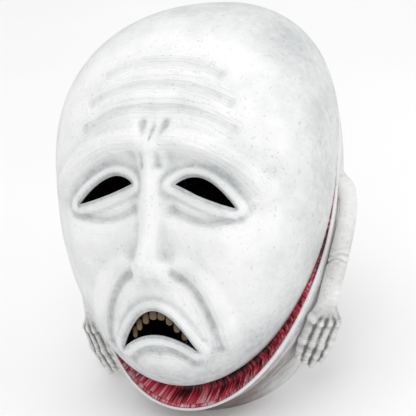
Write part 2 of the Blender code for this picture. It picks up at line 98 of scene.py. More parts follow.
# The share of the hood's length over which the band follows its lip
BAND_LEAD = 0.02
TOOTH_LENGTH = 0.011
TOOTH_THICKNESS = 0.0035
GUM_RADIUS = 0.0035
GUM_CLEARANCE = 0.0010
CLEARANCE = 0.0003
# A share of FACE_HALF_WIDTH
SHOULDER_ACROSS = 1.012
SHOULDER_Y = 0.008
SHOULDER_Z = 0.2255
ARM_DROP = 0.176
ARM_RADIUS = 0.0078
FINGER_RADIUS = 0.0046

# Raised and hollow areas of the face. Places are shares of the egg, heights of RELIEF:
# across, up, half width, half height, height
BUMPS = (
    (0.0, -0.365, 0.105, 0.078, 1.5),
    (0.115, -0.405, 0.055, 0.045, 0.65),
    (0.37, -0.02, 0.28, 0.13, -1.2),
    (0.37, -0.055, 0.21, 0.085, 0.8),
    (0.57, -0.27, 0.21, 0.12, 0.9),
    (0.62, -0.60, 0.18, 0.16, -0.35),
    (0.0, -0.865, 0.21, 0.070, 0.7),
    (0.88, 0.12, 0.16, 0.26, -0.4),
)
# Ridges and grooves along a bend through three places:
# start, middle, end, width as a share of the half width, height
FOLDS = (
    ((0.0, 0.18), (0.0, -0.10), (0.0, -0.34), 0.085, 1.35),
    ((0.09, 0.235), (0.42, 0.175), (0.74, -0.03), 0.085, 1.0),
    ((0.05, 0.10), (0.055, 0.20), (0.08, 0.33), 0.035, -0.25),
    ((0.15, -0.13), (0.37, -0.18), (0.60, -0.16), 0.045, -0.3),
    ((0.15, -0.41), (0.34, -0.53), (0.45, -0.76), 0.050, -0.45),
    ((0.22, -0.38), (0.42, -0.50), (0.54, -0.74), 0.080, 0.4),
    ((0.0, -0.785), (0.12, -0.79), (0.24, -0.84), 0.050, -0.35),
    ((0.0, 0.42), (0.27, 0.40), (0.52, 0.30), 0.050, -0.17),
    ((0.0, 0.55), (0.25, 0.53), (0.48, 0.44), 0.050, -0.17),
    ((0.0, 0.68), (0.20, 0.665), (0.38, 0.60), 0.050, -0.14),
)
# Openings are the space between an upper and a lower bend that share their corners:
# first corner, upper middle, lower middle, last corner
EYE = ((0.16, -0.012), (0.35, 0.012), (0.37, -0.072), (0.58, -0.115))
MOUTH = ((-0.30, -0.775), (0.0, -0.585), (0.0, -0.700), (0.30, -0.775))
# How the hood's lines leave the lip and reach the neck: angle, lip back, lip in, lip up,
# neck out, neck back, neck up, in shares of HOOD_DEPTH, FACE_HALF_WIDTH and HOOD_HEIGHT
HOOD_TABLE = (
    (90, 0.76, 0.00, -0.08, 0.00, 0.47, 0.50),
    (45, 0.74, 0.32, -0.10, 0.38, 0.44, 0.44),
    (0, 0.52, 0.18, 0.00, 0.32, 0.33, 0.28),
    (-30, 0.38, -0.10, 0.00, 0.30, 0.14, 0.13),
    (-60, 0.20, -0.05, -0.01, 0.20, -0.02, 0.04),
    (-90, 0.10, 0.00, -0.01, 0.00, -0.08, 0.02),
)
# angle, its spread, place along the line, its spread, height share
THROAT_FOLDS = (
    (-66, 15, 0.42, 0.13, 1.0),
    (-60, 17, 0.72, 0.10, -0.8),
    (-38, 9, 0.55, 0.12, 0.9),
)
# Places down the arm, measured from its shoulder: across, back, drop, thickness
ARM_TABLE = (
    (-0.117, 0.029, -0.015, 1.20),
    (0.000, 0.000, 0.000, 1.05),
    (0.028, -0.029, 0.121, 1.00),
    (-0.006, -0.107, 0.311, 1.10),
    (-0.075, -0.165, 0.530, 1.12),
    (-0.097, -0.179, 0.589, 0.82),
)
# knuckle, middle joint and tip, each as across, back and drop
FINGER_TABLE = (
    ((-0.165, -0.222, 0.630), (-0.246, -0.215, 0.746), (-0.308, -0.172, 0.838)),
    ((-0.126, -0.204, 0.646), (-0.197, -0.193, 0.762), (-0.270, -0.150, 0.865)),
    ((-0.076, -0.172, 0.650), (-0.153, -0.157, 0.777), (-0.230, -0.122, 0.887)),
    ((-0.042, -0.129, 0.656), (-0.092, -0.115, 0.762), (-0.170, -0.093, 0.861)),
)
# How each arm hangs: name, side, its shoulder inwards, down and back in the same shares,
# and its splay and turn in degrees
ARMS = (
    ("arm_left", 1, 0.0, 0.0, 0.0, 0, 0),
    ("arm_right", -1, 0.027, 0.112, 0.040, 5.3, -15),
)
TOOTH_WIDTHS = (0.0052, 0.0056, 0.0062, 0.0070, 0.0070, 0.0062, 0.0056, 0.0052)
TOOTH_GAP = 0.0006


# The forms that the part and its looks share

def egg_place(across, up):
    x = across * FACE_HALF_WIDTH * (1 + EGG_TAPER * up)
    z = FACE_CENTRE_Z + up * np.where(up > 0, FACE_RISE, FACE_DROP)
    return x, z


def egg_share(x, z):
    up = z - FACE_CENTRE_Z
    up = np.clip(np.where(up > 0, up / FACE_RISE, up / FACE_DROP), -1, 1)
    return x / (FACE_HALF_WIDTH * (1 + EGG_TAPER * up)), up


def egg_reach(across, up, power=1):
    """How far out a place of the egg lies, 1 at its edge, raised to a power."""
    return (np.abs(across) ** EGG_POWER + np.abs(up) ** EGG_POWER) ** (power / EGG_POWER)


def edge_y(sine):
    crown = np.clip(sine, 0, 1) ** EDGE_CURVE
    chin = np.clip(-sine, 0, 1) ** EDGE_CURVE
    return EDGE_SIDE_Y + (EDGE_CROWN_Y - EDGE_SIDE_Y) * crown + (EDGE_CHIN_Y - EDGE_SIDE_Y) * chin


def edge_point(angle):
    cosine, sine = np.cos(angle), np.sin(angle)
    reach = egg_reach(cosine, sine, -1)
    x, z = egg_place(cosine * reach, sine * reach)
    return np.stack([x, edge_y(sine), z], -1)


def edge_out(angle):
    out = np.stack([EDGE_SPREAD * np.cos(angle), 0 * angle, np.sin(angle)], -1)
    return out / np.linalg.norm(out, axis=-1, keepdims=True)


def dome_y(x, z):
    across, up = egg_share(x, z)
    reach = egg_reach(across, up)
    edge = edge_y(up / np.maximum(np.hypot(across, up), 1e-9))
    front = FRONT_Y + FRONT_LEAN * up
    return edge - (edge - front) * (1 - np.clip(reach, 0, 1) ** DOME_POWER) ** (1 / DOME_POWER)


def bend(start, middle, end, count=40):
    start, middle, end = (np.array(egg_place(*np.array(place, float))) for place in (start, middle, end))
    pull = 2 * middle - (start + end) / 2
    u = np.linspace(0, 1, count)[:, None]
    return (1 - u) ** 2 * start + 2 * u * (1 - u) * pull + u**2 * end


def outline(opening, count=40):
    first, upper, lower, last = opening
    top = bend(first, upper, last, count)
    bottom = bend(last, lower, first, count)
    return np.concatenate([top[:-1], bottom[:-1]])


def nearest(x, z, places, closed=False):
    """The distance from each x and z to a line through the places."""
    ends = np.roll(places, -1, axis=0) if closed else places[1:]
    starts = places if closed else places[:-1]
    best = np.full(np.shape(x), np.inf)
    for (ax, az), (bx, bz) in zip(starts, ends):
        run_x, run_z = bx - ax, bz - az
        share = ((x - ax) * run_x + (z - az) * run_z) / (run_x**2 + run_z**2 + 1e-18)
        share = np.clip(share, 0, 1)
        gap = (x - ax - share * run_x) ** 2 + (z - az - share * run_z) ** 2
        best = np.minimum(best, gap)
    return np.sqrt(best)


def relief(x, z):
    side = np.abs(x)
    across, up = egg_share(side, z)
    height = np.zeros_like(side)
    for centre, level, half_width, half_height, share in BUMPS:
        spread = ((across - centre) / half_width) ** 2 + ((up - level) / half_height) ** 2
        height += share * np.exp(-spread)
    for start, middle, end, width, share in FOLDS:
        gap = nearest(side, z, bend(start, middle, end))
        height += share * np.exp(-((gap / (width * FACE_HALF_WIDTH)) ** 2))
    height *= RELIEF
    for opening in (EYE, MOUTH):
        gap = nearest(side, z, outline(opening), closed=True)
        height += OPENING_ROLL * np.exp(-((gap / OPENING_ROLL_RADIUS - 1) ** 2))
    reach = egg_reach(across, up)
    return height * (1 - np.clip(reach, 0, 1) ** RELIEF_FADE)


def face_y(x, z):
    return dome_y(x, z) - relief(x, z)


def inner_face(x, z):
    step = 0.001
    y = face_y(x, z)
    slope_x = (face_y(x + step, z) - y) / step
    slope_z = (face_y(x, z + step) - y) / step
    inward = np.stack([-slope_x, np.ones_like(y), -slope_z], -1)
    inward /= np.linalg.norm(inward, axis=-1, keepdims=True)
    return np.stack([x, y, z], -1) + WALL * inward


def lip_growth(angle):
    return np.clip((LIP_START - np.sin(angle)) / (1 + LIP_START), 0, 1) ** LIP_GROWTH


def lip_offset(angle):
    growth = lip_growth(angle)
    out = LIP_OUT * growth + LIP_DROP * growth**3
    clear = (WALL + SEAM) / LIP_OUT
    forward = LIP_FORWARD * np.clip((growth - clear) / (1 - clear), 0, 1)
    return out, SEAM - forward


def lip_point(angle):
    out, back = lip_offset(angle)
    point = edge_point(angle) + edge_out(angle) * out[..., None]
    point[..., 1] += back
    return point


def neck_point(angle):
    across = NECK_HALF_WIDTH * np.cos(angle)
    along = NECK_HALF_DEPTH * np.sin(angle)
    y = NECK_CENTRE_Y + along * math.cos(LEAN_BACK)
    z = NECK_CENTRE_Z + along * math.sin(LEAN_BACK)
    return np.stack([across, y, z], -1)


def table_column(angle, column):
    rows = HOOD_TABLE[::-1]
    level = np.degrees(np.arcsin(np.clip(np.sin(angle), -1, 1)))
    row = np.interp(level, [line[0] for line in rows], range(len(rows)))
    low = np.minimum(row.astype(int), len(rows) - 2)
    part = row - low
    part = 0.5 * part + 0.5 * part * part * (3 - 2 * part)
    values = np.array([line[column] for line in rows])
    return values[low] * (1 - part) + values[low + 1] * part


def hood_point(angle, along):
    lip, neck = lip_point(angle), neck_point(angle)
    lip_back, lip_in, lip_up, neck_out, neck_back, neck_up = (
        table_column(angle, column) for column in range(1, 7)
    )
    side = FACE_HALF_WIDTH * np.cos(angle)
    leave = lip + np.stack([-lip_in * side, lip_back * HOOD_DEPTH, lip_up * HOOD_HEIGHT], -1)
    out = neck_out * side
    reach = neck + np.stack([out, neck_back * HOOD_DEPTH, neck_up * HOOD_HEIGHT], -1)
    s = along[..., None]
    point = (1 - s) ** 3 * lip + 3 * s * (1 - s) ** 2 * leave + 3 * s**2 * (1 - s) * reach + s**3 * neck
    level = np.degrees(np.arcsin(np.clip(np.sin(angle), -1, 1)))
    rise = np.zeros_like(angle)
    for centre, spread, place, length, share in THROAT_FOLDS:
        rise += share * np.exp(-(((level - centre) / spread) ** 2) - ((along - place) / length) ** 2)
    return point + edge_out(angle) * (THROAT_FOLD * rise)[..., None]


# From the upright drawing to the world

def lean_matrix():
    """The part's lean, placed by its packed face and neck rim."""
    low, high = (Vector(corner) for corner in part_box("face_shell"))
    rim = [vert.co.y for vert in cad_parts["hood"].data.vertices if vert.co.z < 1e-4]
    turn = Matrix.Rotation(-LEAN_BACK, 4, "X")
    centre = turn @ Vector((0, NECK_CENTRE_Y, NECK_CENTRE_Z))
    shift = Vector(((low.x + high.x) / 2, (min(rim) + max(rim)) / 2 - centre.y, -centre.z))
    return Matrix.Translation(shift) @ turn


LEAN = lean_matrix()


def to_world(points):
    matrix = np.array(LEAN)
    return np.asarray(points) @ matrix[:3, :3].T + matrix[:3, 3]


# Meshes

def add_piece(name, points, faces, material, replaced, values=None):
    """A smooth mesh piece that rides on the root and stands for CAD nodes."""
    mesh = bpy.data.meshes.new(name)
    mesh.from_pydata(to_world(points), [], faces)
    mesh.update()
    mesh.shade_smooth()
    for label, numbers in (values or {}).items():
        layer = mesh.attributes.new(label, "FLOAT", "POINT")
        layer.data.foreach_set("value", np.asarray(numbers, np.float32))
    mesh.materials.append(material)
    piece = bpy.data.objects.new(name, mesh)
    bpy.context.scene.collection.objects.link(piece)
    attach(piece, "root")
    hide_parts(*replaced)
    return piece


def face_outwards(piece):
    """Turns the faces of a closed piece outwards."""
    shape = bmesh.new()
    shape.from_mesh(piece.data)
    bmesh.ops.recalc_face_normals(shape, faces=shape.faces)
    shape.to_mesh(piece.data)
    shape.free()


def edge_row(front, back, out, bulge, turn):
    """A row of a rounded edge, from front at no turn to back at half a turn."""
    return (front + back) / 2 + (front - back) / 2 * math.cos(turn) + out * bulge * math.sin(turn)


def face_normals(points, faces):
    """Unit normals of the vertices of a triangle mesh."""
    corners = points[faces]
    flat = np.cross(corners[:, 1] - corners[:, 0], corners[:, 2] - corners[:, 0])
    normals = np.zeros_like(points)
    for corner in range(3):
        np.add.at(normals, faces[:, corner], flat)
    return normals / np.maximum(np.linalg.norm(normals, axis=1, keepdims=True), 1e-12)


def fractal(points, scale, octaves=4, seed=0.0):
    """Smooth noise from about -1 to 1, whose largest lumps are scale metres wide."""
    shift = Vector((seed, 2 * seed, 3 * seed))
    return np.array([noise.fractal(Vector(point) / scale + shift, 1.0, 2.0, octaves) for point in points])


# The face

# The half sizes of the flat disc that the dome is unrolled on
DISC_ACROSS = 0.20
DISC_UP = 0.25
DISC_POWER = 0.95
# The rows of FOLDS that fine wrinkles follow, and how far from them
WRINKLED = ((1, 0.014), (3, 0.010), (4, 0.012), (7, 0.012), (8, 0.012), (9, 0.010), (6, 0.012))
# How far the openings' edges bulge, and how deep they are
ROLL = 0.0017
LID = 0.0042
# The steps of the grid among the face's features and towards its edge, outside and inside
OUTER_STEPS = (0.00125, 0.0028)
INNER_STEPS = (0.0045, 0.0060)
OPENING_STEP = 0.0009
RIM_POINTS = 520
EDGE_ROUNDS = 6


def unroll(x, z):
    """Places on a flat disc whose distances are about those on the face's dome."""
    across, up = egg_share(x, z)
    reach = egg_reach(across, up)
    length = np.arcsin(np.clip(reach, 0, 1) ** (1 / DISC_POWER)) * 2 / math.pi
    angle = np.arctan2(up, across)
    return np.stack([DISC_ACROSS * length * np.cos(angle), DISC_UP * length * np.sin(angle)], -1)


def roll_up(places):
    """x and z of places on the disc, which is unroll the other way round."""
    disc_x, disc_z = places[:, 0] / DISC_ACROSS, places[:, 1] / DISC_UP
    length = np.clip(np.hypot(disc_x, disc_z), 0, 1)
    angle = np.arctan2(disc_z, disc_x)
    cosine, sine = np.cos(angle), np.sin(angle)
    reach = np.sin(length * math.pi / 2) ** DISC_POWER
    reach *= egg_reach(cosine, sine, -1)
    return egg_place(cosine * reach, sine * reach)


def inside(x, z, loop):
    """Which places lie inside a closed loop."""
    crossings = np.zeros(len(x), int)
    for (ax, az), (bx, bz) in zip(loop, np.roll(loop, -1, axis=0)):
        spans = (az > z) != (bz > z)
        if az != bz:
            crossings += spans & (x < (bx - ax) * (z - az) / (bz - az) + ax)
    return crossings % 2 == 1


def spaced(loop, step):
    """A closed loop with its points an even step apart."""
    closed = np.concatenate([loop, loop[:1]])
    lengths = np.concatenate([[0], np.cumsum(np.linalg.norm(np.diff(closed, axis=0), axis=1))])
    count = max(12, round(lengths[-1] / step))
    where = np.linspace(0, lengths[-1], count, endpoint=False)
    return np.stack([np.interp(where, lengths, closed[:, axis]) for axis in (0, 1)], -1)


def grown(loop, by):
    """A closed loop moved outwards."""
    ahead = np.roll(loop, -1, axis=0) - np.roll(loop, 1, axis=0)
    out = np.stack([ahead[:, 1], -ahead[:, 0]], -1)
    out /= np.linalg.norm(out, axis=1, keepdims=True)
    middle = loop.mean(0)
    if ((loop - middle) * out).sum() < 0:
        out = -out
    return loop + by * out


def hexes(step):
    """Points of a triangular grid over the disc."""
    rows = np.arange(-DISC_UP, DISC_UP, step * math.sqrt(0.75))
    columns = np.arange(-DISC_ACROSS, DISC_ACROSS, step)
    grid = np.array([(x + step / 2 * (i % 2), z) for i, z in enumerate(rows) for x in columns])
    return grid[np.hypot(grid[:, 0] / DISC_ACROSS, grid[:, 1] / DISC_UP) < 1 - 0.4 * step / DISC_ACROSS]


def sheet_faces(places, loops, holes):
    """Triangles over the places of the disc, whose loops come first, without the holes."""
    edges = []
    first = 0
    for loop in loops:
        edges += [(first + i, first + (i + 1) % len(loop)) for i in range(len(loop))]
        first += len(loop)
    result = delaunay_2d_cdt([Vector(place) for place in places], edges, [], 0, 1e-7)
    original = np.array([ids[0] for ids in result[3]])
    faces = original[np.array(result[2])]
    middle_x, middle_z = roll_up(places[faces].mean(1))
    kept = np.ones(len(faces), bool)
    for hole in holes:
        kept &= ~inside(middle_x, middle_z, hole)
    return faces[kept]


def wrinkle_field(x, z):
    """The distance to the folds that fine wrinkles follow, and how strong they are."""
    side = np.abs(x)
    total = np.zeros_like(side)
    strength = np.zeros_like(side)
    lines = [(bend(*FOLDS[row][:3]), False, reach) for row, reach in WRINKLED]
    lines += [(outline(EYE), True, 0.013), (outline(MOUTH), True, 0.016)]
    for line, closed, reach in lines:
        gap = nearest(side, z, line, closed=closed)
        weight = np.exp(-((gap / reach) ** 2))
        total += weight * gap
        strength += weight
    return total / np.maximum(strength, 1e-6), np.clip(strength, 0, 1)


def face_detail(x, z):
    """Small lumps and creases that the part's plain wall leaves out."""
    points = np.stack([x, dome_y(x, z), z], -1)
    flow, strength = wrinkle_field(x, z)
    lumps = 0.0007 * fractal(points, 0.045, 3, 1.3) + 0.00022 * fractal(points, 0.009, 3, 4.1)
    wander = 1.2 * fractal(points, 0.02, 2, 7.7)
    creases = 0.00030 * strength * np.sin(flow / 0.0042 * 2 * math.pi + 2.2 * wander)
    across, up = egg_share(x, z)
    reach = np.hypot(across, up)
    return (lumps + creases) * np.clip((1 - reach) / 0.08, 0, 1), flow, strength


def hole_gap(x, z, holes):
    """The distance from each x and z to the nearest opening's edge."""
    return np.min([nearest(x, z, hole[::3], closed=True) for hole in holes], axis=0)


def face_places(bound, holes, steps):
    """The bounding places and a grid between them, finer among the face's features."""
    places = [bound]
    for step, dense in zip(steps, (True, False)):
        grid = hexes(step)
        across, up = egg_share(*roll_up(grid))
        busy = (np.abs(across) < 0.72) & (up > -0.95) & (up < 0.72)
        grid = grid[busy == dense]
        x, z = roll_up(grid)
        clear = hole_gap(x, z, holes) > 0.55 * min(step, 0.0012)
        for hole in holes:
            clear &= ~inside(x, z, hole)
        places.append(grid[clear])
    return np.concatenate(places)


def face_sheet(loops, holes, steps):
    """Points, forward faces and normals of the face's front, and its wrinkles' flow and strength."""
    places = face_places(np.concatenate(loops), holes, steps)
    faces = sheet_faces(places, loops, holes)
    x, z = roll_up(places)
    detail, flow, strength = face_detail(x, z)
    points = np.stack([x, face_y(x, z) - detail, z], -1)
    normals = face_normals(points, faces)
    if normals[:, 1].sum() > 0:
        faces = faces[:, ::-1]
        normals = -normals
    return points, faces, normals, flow, strength


def face_edges(outer, inner, normals, starts):
    """All points of the face with its rounded edges, the edges' faces and their grey wash and painted shade.
    """
    vertices = [outer, inner]
    faces = []
    grey_wash_and_shade = []
    count = len(outer) + len(inner)
    for number, (start, end) in enumerate(zip(starts, starts[1:])):
        front, back, normal = outer[start:end], inner[start:end], normals[start:end]
        # The rim, which comes first, bulges backwards, and an opening's edge towards its middle
        rim = number == 0
        ahead = np.roll(front, -1, axis=0) - np.roll(front, 1, axis=0)
        aside = np.cross(normal if rim else np.array((0.0, 1.0, 0.0)), ahead)
        aside /= np.linalg.norm(aside, axis=1, keepdims=True)
        wanted = np.array((0, 1, 0)) if rim else front.mean(0) - front
        if (aside * wanted).sum() < 0:
            aside = -aside
        half = np.linalg.norm(front - back, axis=1, keepdims=True) / 2
        rows = [np.arange(start, end)]
        for turn in np.linspace(0, math.pi, EDGE_ROUNDS + 1)[1:-1]:
            vertices.append(edge_row(front, back, aside, half if rim else ROLL, turn))
            rows.append(np.arange(count, count + len(front)))
            count += len(front)
            # The rim's rounded edge is greyed; an opening's edge darkens as it turns inwards, painted shade
            # inside the opening.
            grey_wash_and_shade.append(np.full(len(front), 0.35 if rim else 0.6 + 0.4 * math.sin(turn / 2)))
        rows.append(np.arange(start, end) + len(outer))
        for this, following in zip(rows, rows[1:]):
            nxt, far = np.roll(this, -1), np.roll(following, -1)
            quads = np.concatenate([np.stack([this, nxt, far], -1), np.stack([this, far, following], -1)])
            strip = np.concatenate(vertices)[quads]
            flat = np.cross(strip[:, 1] - strip[:, 0], strip[:, 2] - strip[:, 0])
            out = strip.mean(1) - np.concatenate([(front + back) / 2] * 2)
            faces.append(quads[:, ::-1] if (flat * out).sum() < 0 else quads)
    return np.concatenate(vertices), faces, grey_wash_and_shade


def face_wash_and_shade(outer, holes):
    """How grey the face is: grey wash and painted shade together, in its hollows, at its edge, under its chin
    and round the openings.
    """
    x, z = outer[:, 0], outer[:, 2]
    step = 0.0045
    level = relief(x, z)
    around = np.zeros(len(outer))
    for turn in np.linspace(0, 2 * math.pi, 6, endpoint=False):
        around += relief(x + step * math.cos(turn), z + step * math.sin(turn)) / 6
    # Grey wash with painted shade: darker where the face dips below its surroundings, towards its edge, under
    # the chin and round the openings.
    hollow = np.clip((around - level) / 0.0011, 0, 1)
    across, up = egg_share(x, z)
    reach = np.hypot(across, up)
    edge = np.clip((reach - 0.84) / 0.16, 0, 1)
    chin = np.clip((-up - 0.62) / 0.3, 0, 1) * np.clip((reach - 0.70) / 0.2, 0, 1)
    near = np.exp(-((hole_gap(x, z, holes) / 0.0022) ** 2))
    return np.clip(0.75 * hollow + 0.46 * edge + 0.38 * chin + 0.55 * near, 0, 1)


def add_face(material):
    mouth, eye = (grown(spaced(outline(opening, 120), OPENING_STEP), ROLL) for opening in (MOUTH, EYE))
    holes = [mouth, eye, eye[::-1] * (-1, 1)]
    turn = np.linspace(0, 2 * math.pi, RIM_POINTS, endpoint=False)
    rim = np.stack([DISC_ACROSS * np.cos(turn), DISC_UP * np.sin(turn)], -1)
    loops = [rim] + [unroll(hole[:, 0], hole[:, 1]) for hole in holes]
    starts = np.cumsum([0] + [len(loop) for loop in loops])
    outer, outer_faces, outer_normals, flow, strength = face_sheet(loops, holes, OUTER_STEPS)
    points, inner_faces, normals = face_sheet(loops, holes, INNER_STEPS)[:3]
    gap = hole_gap(points[:, 0], points[:, 2], holes)
    thickness = WALL + 0.0015 * np.exp(-((gap / 0.004) ** 2))
    inner = points - normals * thickness[:, None]
    # Behind the openings' edges the wall is cut straight back
    inner[starts[1]:starts[-1]] = outer[starts[1]:starts[-1]] + (0, LID, 0)
    vertices, edge_faces, edge_wash_and_shade = face_edges(outer, inner, outer_normals, starts)
    rest = np.zeros(len(vertices) - len(outer))
    # The inside points, coloured near black as painted shade.
    shaded_inside = np.concatenate([np.ones(len(inner)), np.zeros(len(rest) - len(inner))])
    values = {
        "grey_wash_and_shade": np.concatenate([face_wash_and_shade(outer, holes), np.ones(len(inner)), *edge_wash_and_shade]),
        "inner": np.concatenate([np.zeros(len(outer)), shaded_inside]),
        "flow": np.concatenate([flow, rest]),
        "lines": np.concatenate([strength, rest]),
    }
    blocks = [outer_faces, inner_faces[:, ::-1] + len(outer)] + edge_faces
    faces = [tuple(int(i) for i in face) for block in blocks for face in block]
    add_piece("face", vertices, faces, material, ["face_shell"], values)


# The hood

HOOD_COLUMNS = 420
HOOD_ROWS = 110
HOOD_CREASES = 7


def ring_faces(rows, columns):
    """Quads between rows of a closed ring grid."""
    quads = []
    for low in range(0, (rows - 1) * columns, columns):
        high = low + columns
        for column in range(columns):
            following = (column + 1) % columns
            quads.append((low + column, low + following, high + following, high + column))
    return quads


def capped_faces(rows, columns):
    """The faces of a closed ring grid with a face over each end."""
    last = (rows - 1) * columns
    ends = [tuple(range(columns - 1, -1, -1)), tuple(range(last, last + columns))]
    return ring_faces(rows, columns) + ends


def grid_normals(grid):
    """Unit normals of a grid of points whose rows are closed rings."""
    along = np.gradient(grid, axis=0)
    around = np.roll(grid, -1, axis=1) - np.roll(grid, 1, axis=1)
    normals = np.cross(along, around)
    return normals / np.maximum(np.linalg.norm(normals, axis=-1, keepdims=True), 1e-12)


def add_hood(material):
    angles = np.linspace(0, 2 * math.pi, HOOD_COLUMNS, endpoint=False) - math.pi / 2
    along = np.linspace(0, 1, HOOD_ROWS) ** 1.15
    angle_grid, along_grid = np.meshgrid(angles, along)
    grid = np.array([hood_point(angles, np.full(HOOD_COLUMNS, s)) for s in along])
    normals = grid_normals(grid)
    if (normals * (grid - grid.mean((0, 1)))).sum() < 0:
        normals = -normals
    flat = grid.reshape(-1, 3)
    lumps = 0.0008 * fractal(flat, 0.05, 3, 2.2) + 0.00022 * fractal(flat, 0.009, 3, 5.5)
    level = np.degrees(np.arcsin(np.sin(angle_grid)))
    jaw = np.exp(-(((level + 62) / 24) ** 2))
    wander = fractal(flat, 0.03, 2, 9.1).reshape(jaw.shape)
    wave = np.sin(along_grid * 2 * math.pi * HOOD_CREASES + 2.5 * wander)
    raised = lumps.reshape(jaw.shape) + 0.0005 * jaw * wave
    settle = np.clip(along_grid / 0.06, 0, 1) * np.clip((1 - along_grid) / 0.06, 0, 1)
    outer = grid + normals * (raised * settle)[..., None]
    inner_rows = list(range(0, HOOD_ROWS, 4)) + [HOOD_ROWS - 1]
    inner = grid[inner_rows] - normals[inner_rows] * WALL
    down = np.array((0, math.sin(LEAN_BACK), -math.cos(LEAN_BACK)))
    rim_height = (neck_point(angles) @ down)[:, None]
    inner[-1] += (rim_height - inner[-1] @ down[:, None]) * down
    # The lip's rounded edge, from the inner side to the outer side
    front, back = outer[0], inner[0]
    ahead = outer[0] - outer[1]
    ahead /= np.linalg.norm(ahead, axis=1, keepdims=True)
    half = np.linalg.norm(front - back, axis=1, keepdims=True) / 2
    lip = np.array([edge_row(front, back, ahead, half, turn) for turn in np.linspace(math.pi, 0, 7)[1:-1]])
    rings = np.concatenate([inner[::-1], lip, outer])
    faces = ring_faces(len(rings), HOOD_COLUMNS)
    last = (len(rings) - 1) * HOOD_COLUMNS
    for i in range(HOOD_COLUMNS):
        following = (i + 1) % HOOD_COLUMNS
        faces.append((last + i, last + following, following, i))
    # Brown grows towards the hood's underside and along two folds there.
    below = np.clip((-level - 25) / 50, 0, 1)
    fold = np.exp(-(((along_grid - 0.30) / 0.05) ** 2)) + np.exp(-(((along_grid - 0.56) / 0.06) ** 2))
    brown_below = below * np.clip((along_grid - 0.10) / 0.30, 0, 1)
    brown_below = np.clip(0.75 * brown_below + below * fold, 0, 1)
    # Painted shade: darker under the jaw, where the hood faces down, and in the troughs of the jaw's creases.
    shade = 0.15 + 0.75 * below + 0.35 * jaw * np.clip(-wave, 0, 1)
    grey_wash_and_shade = 0.05 + np.clip(along_grid / 0.03, 0, 1) * shade
    # The number of inside points, which are coloured near black as painted shade.
    shaded_inside = len(inner) * HOOD_COLUMNS
    hidden = np.zeros(shaded_inside + len(lip) * HOOD_COLUMNS)
    values = {
        "grey_wash_and_shade": np.concatenate([hidden + 0.25, grey_wash_and_shade.ravel()]),
        "inner": np.concatenate([np.ones(shaded_inside), np.zeros(len(rings) * HOOD_COLUMNS - shaded_inside)]),
        "brown_below": np.concatenate([hidden, brown_below.ravel()]),
        "flow": np.concatenate([hidden, along_grid.ravel() * 0.11]),
        "lines": np.concatenate([hidden, 0.15 + 0.6 * jaw.ravel()]),
    }
    points = rings.reshape(-1, 3)
    face_outwards(add_piece("hood_skin", points, faces, material, ["hood"], values))


# The raw band

BAND_COLUMNS = 1500
BAND_ROWS = 17


def band_line(angle):
    """The middle line of the band's section at one angle, and the directions it lies in."""
    out, back = lip_offset(angle)
    half = BAND_THICKNESS / 2
    inner_gap = WALL + BAND_CLEARANCE + half
    growth = float(lip_growth(angle))
    trough = BAND_TROUGH * growth + half * math.sqrt(growth)
    lead = hood_point(angle, np.array(BAND_LEAD)) - lip_point(angle)
    lead = np.array((lead @ edge_out(angle), lead[1]))
    lead /= np.linalg.norm(lead)
    seat = np.array((out, back)) + lead * BAND_OVERLAP + np.array((-lead[1], lead[0])) * inner_gap
    start = np.array((-inner_gap, 0))
    near = start + BAND_NEAR * (seat - start)
    far = start + BAND_FAR * (seat - start)
    near[1] = max(near[1], 0) + BAND_NEAR_DEPTH * trough
    far[1] = max(far[1], 0) + trough
    return np.array((start - (0, BAND_OVERLAP), start, near, far, seat)), growth


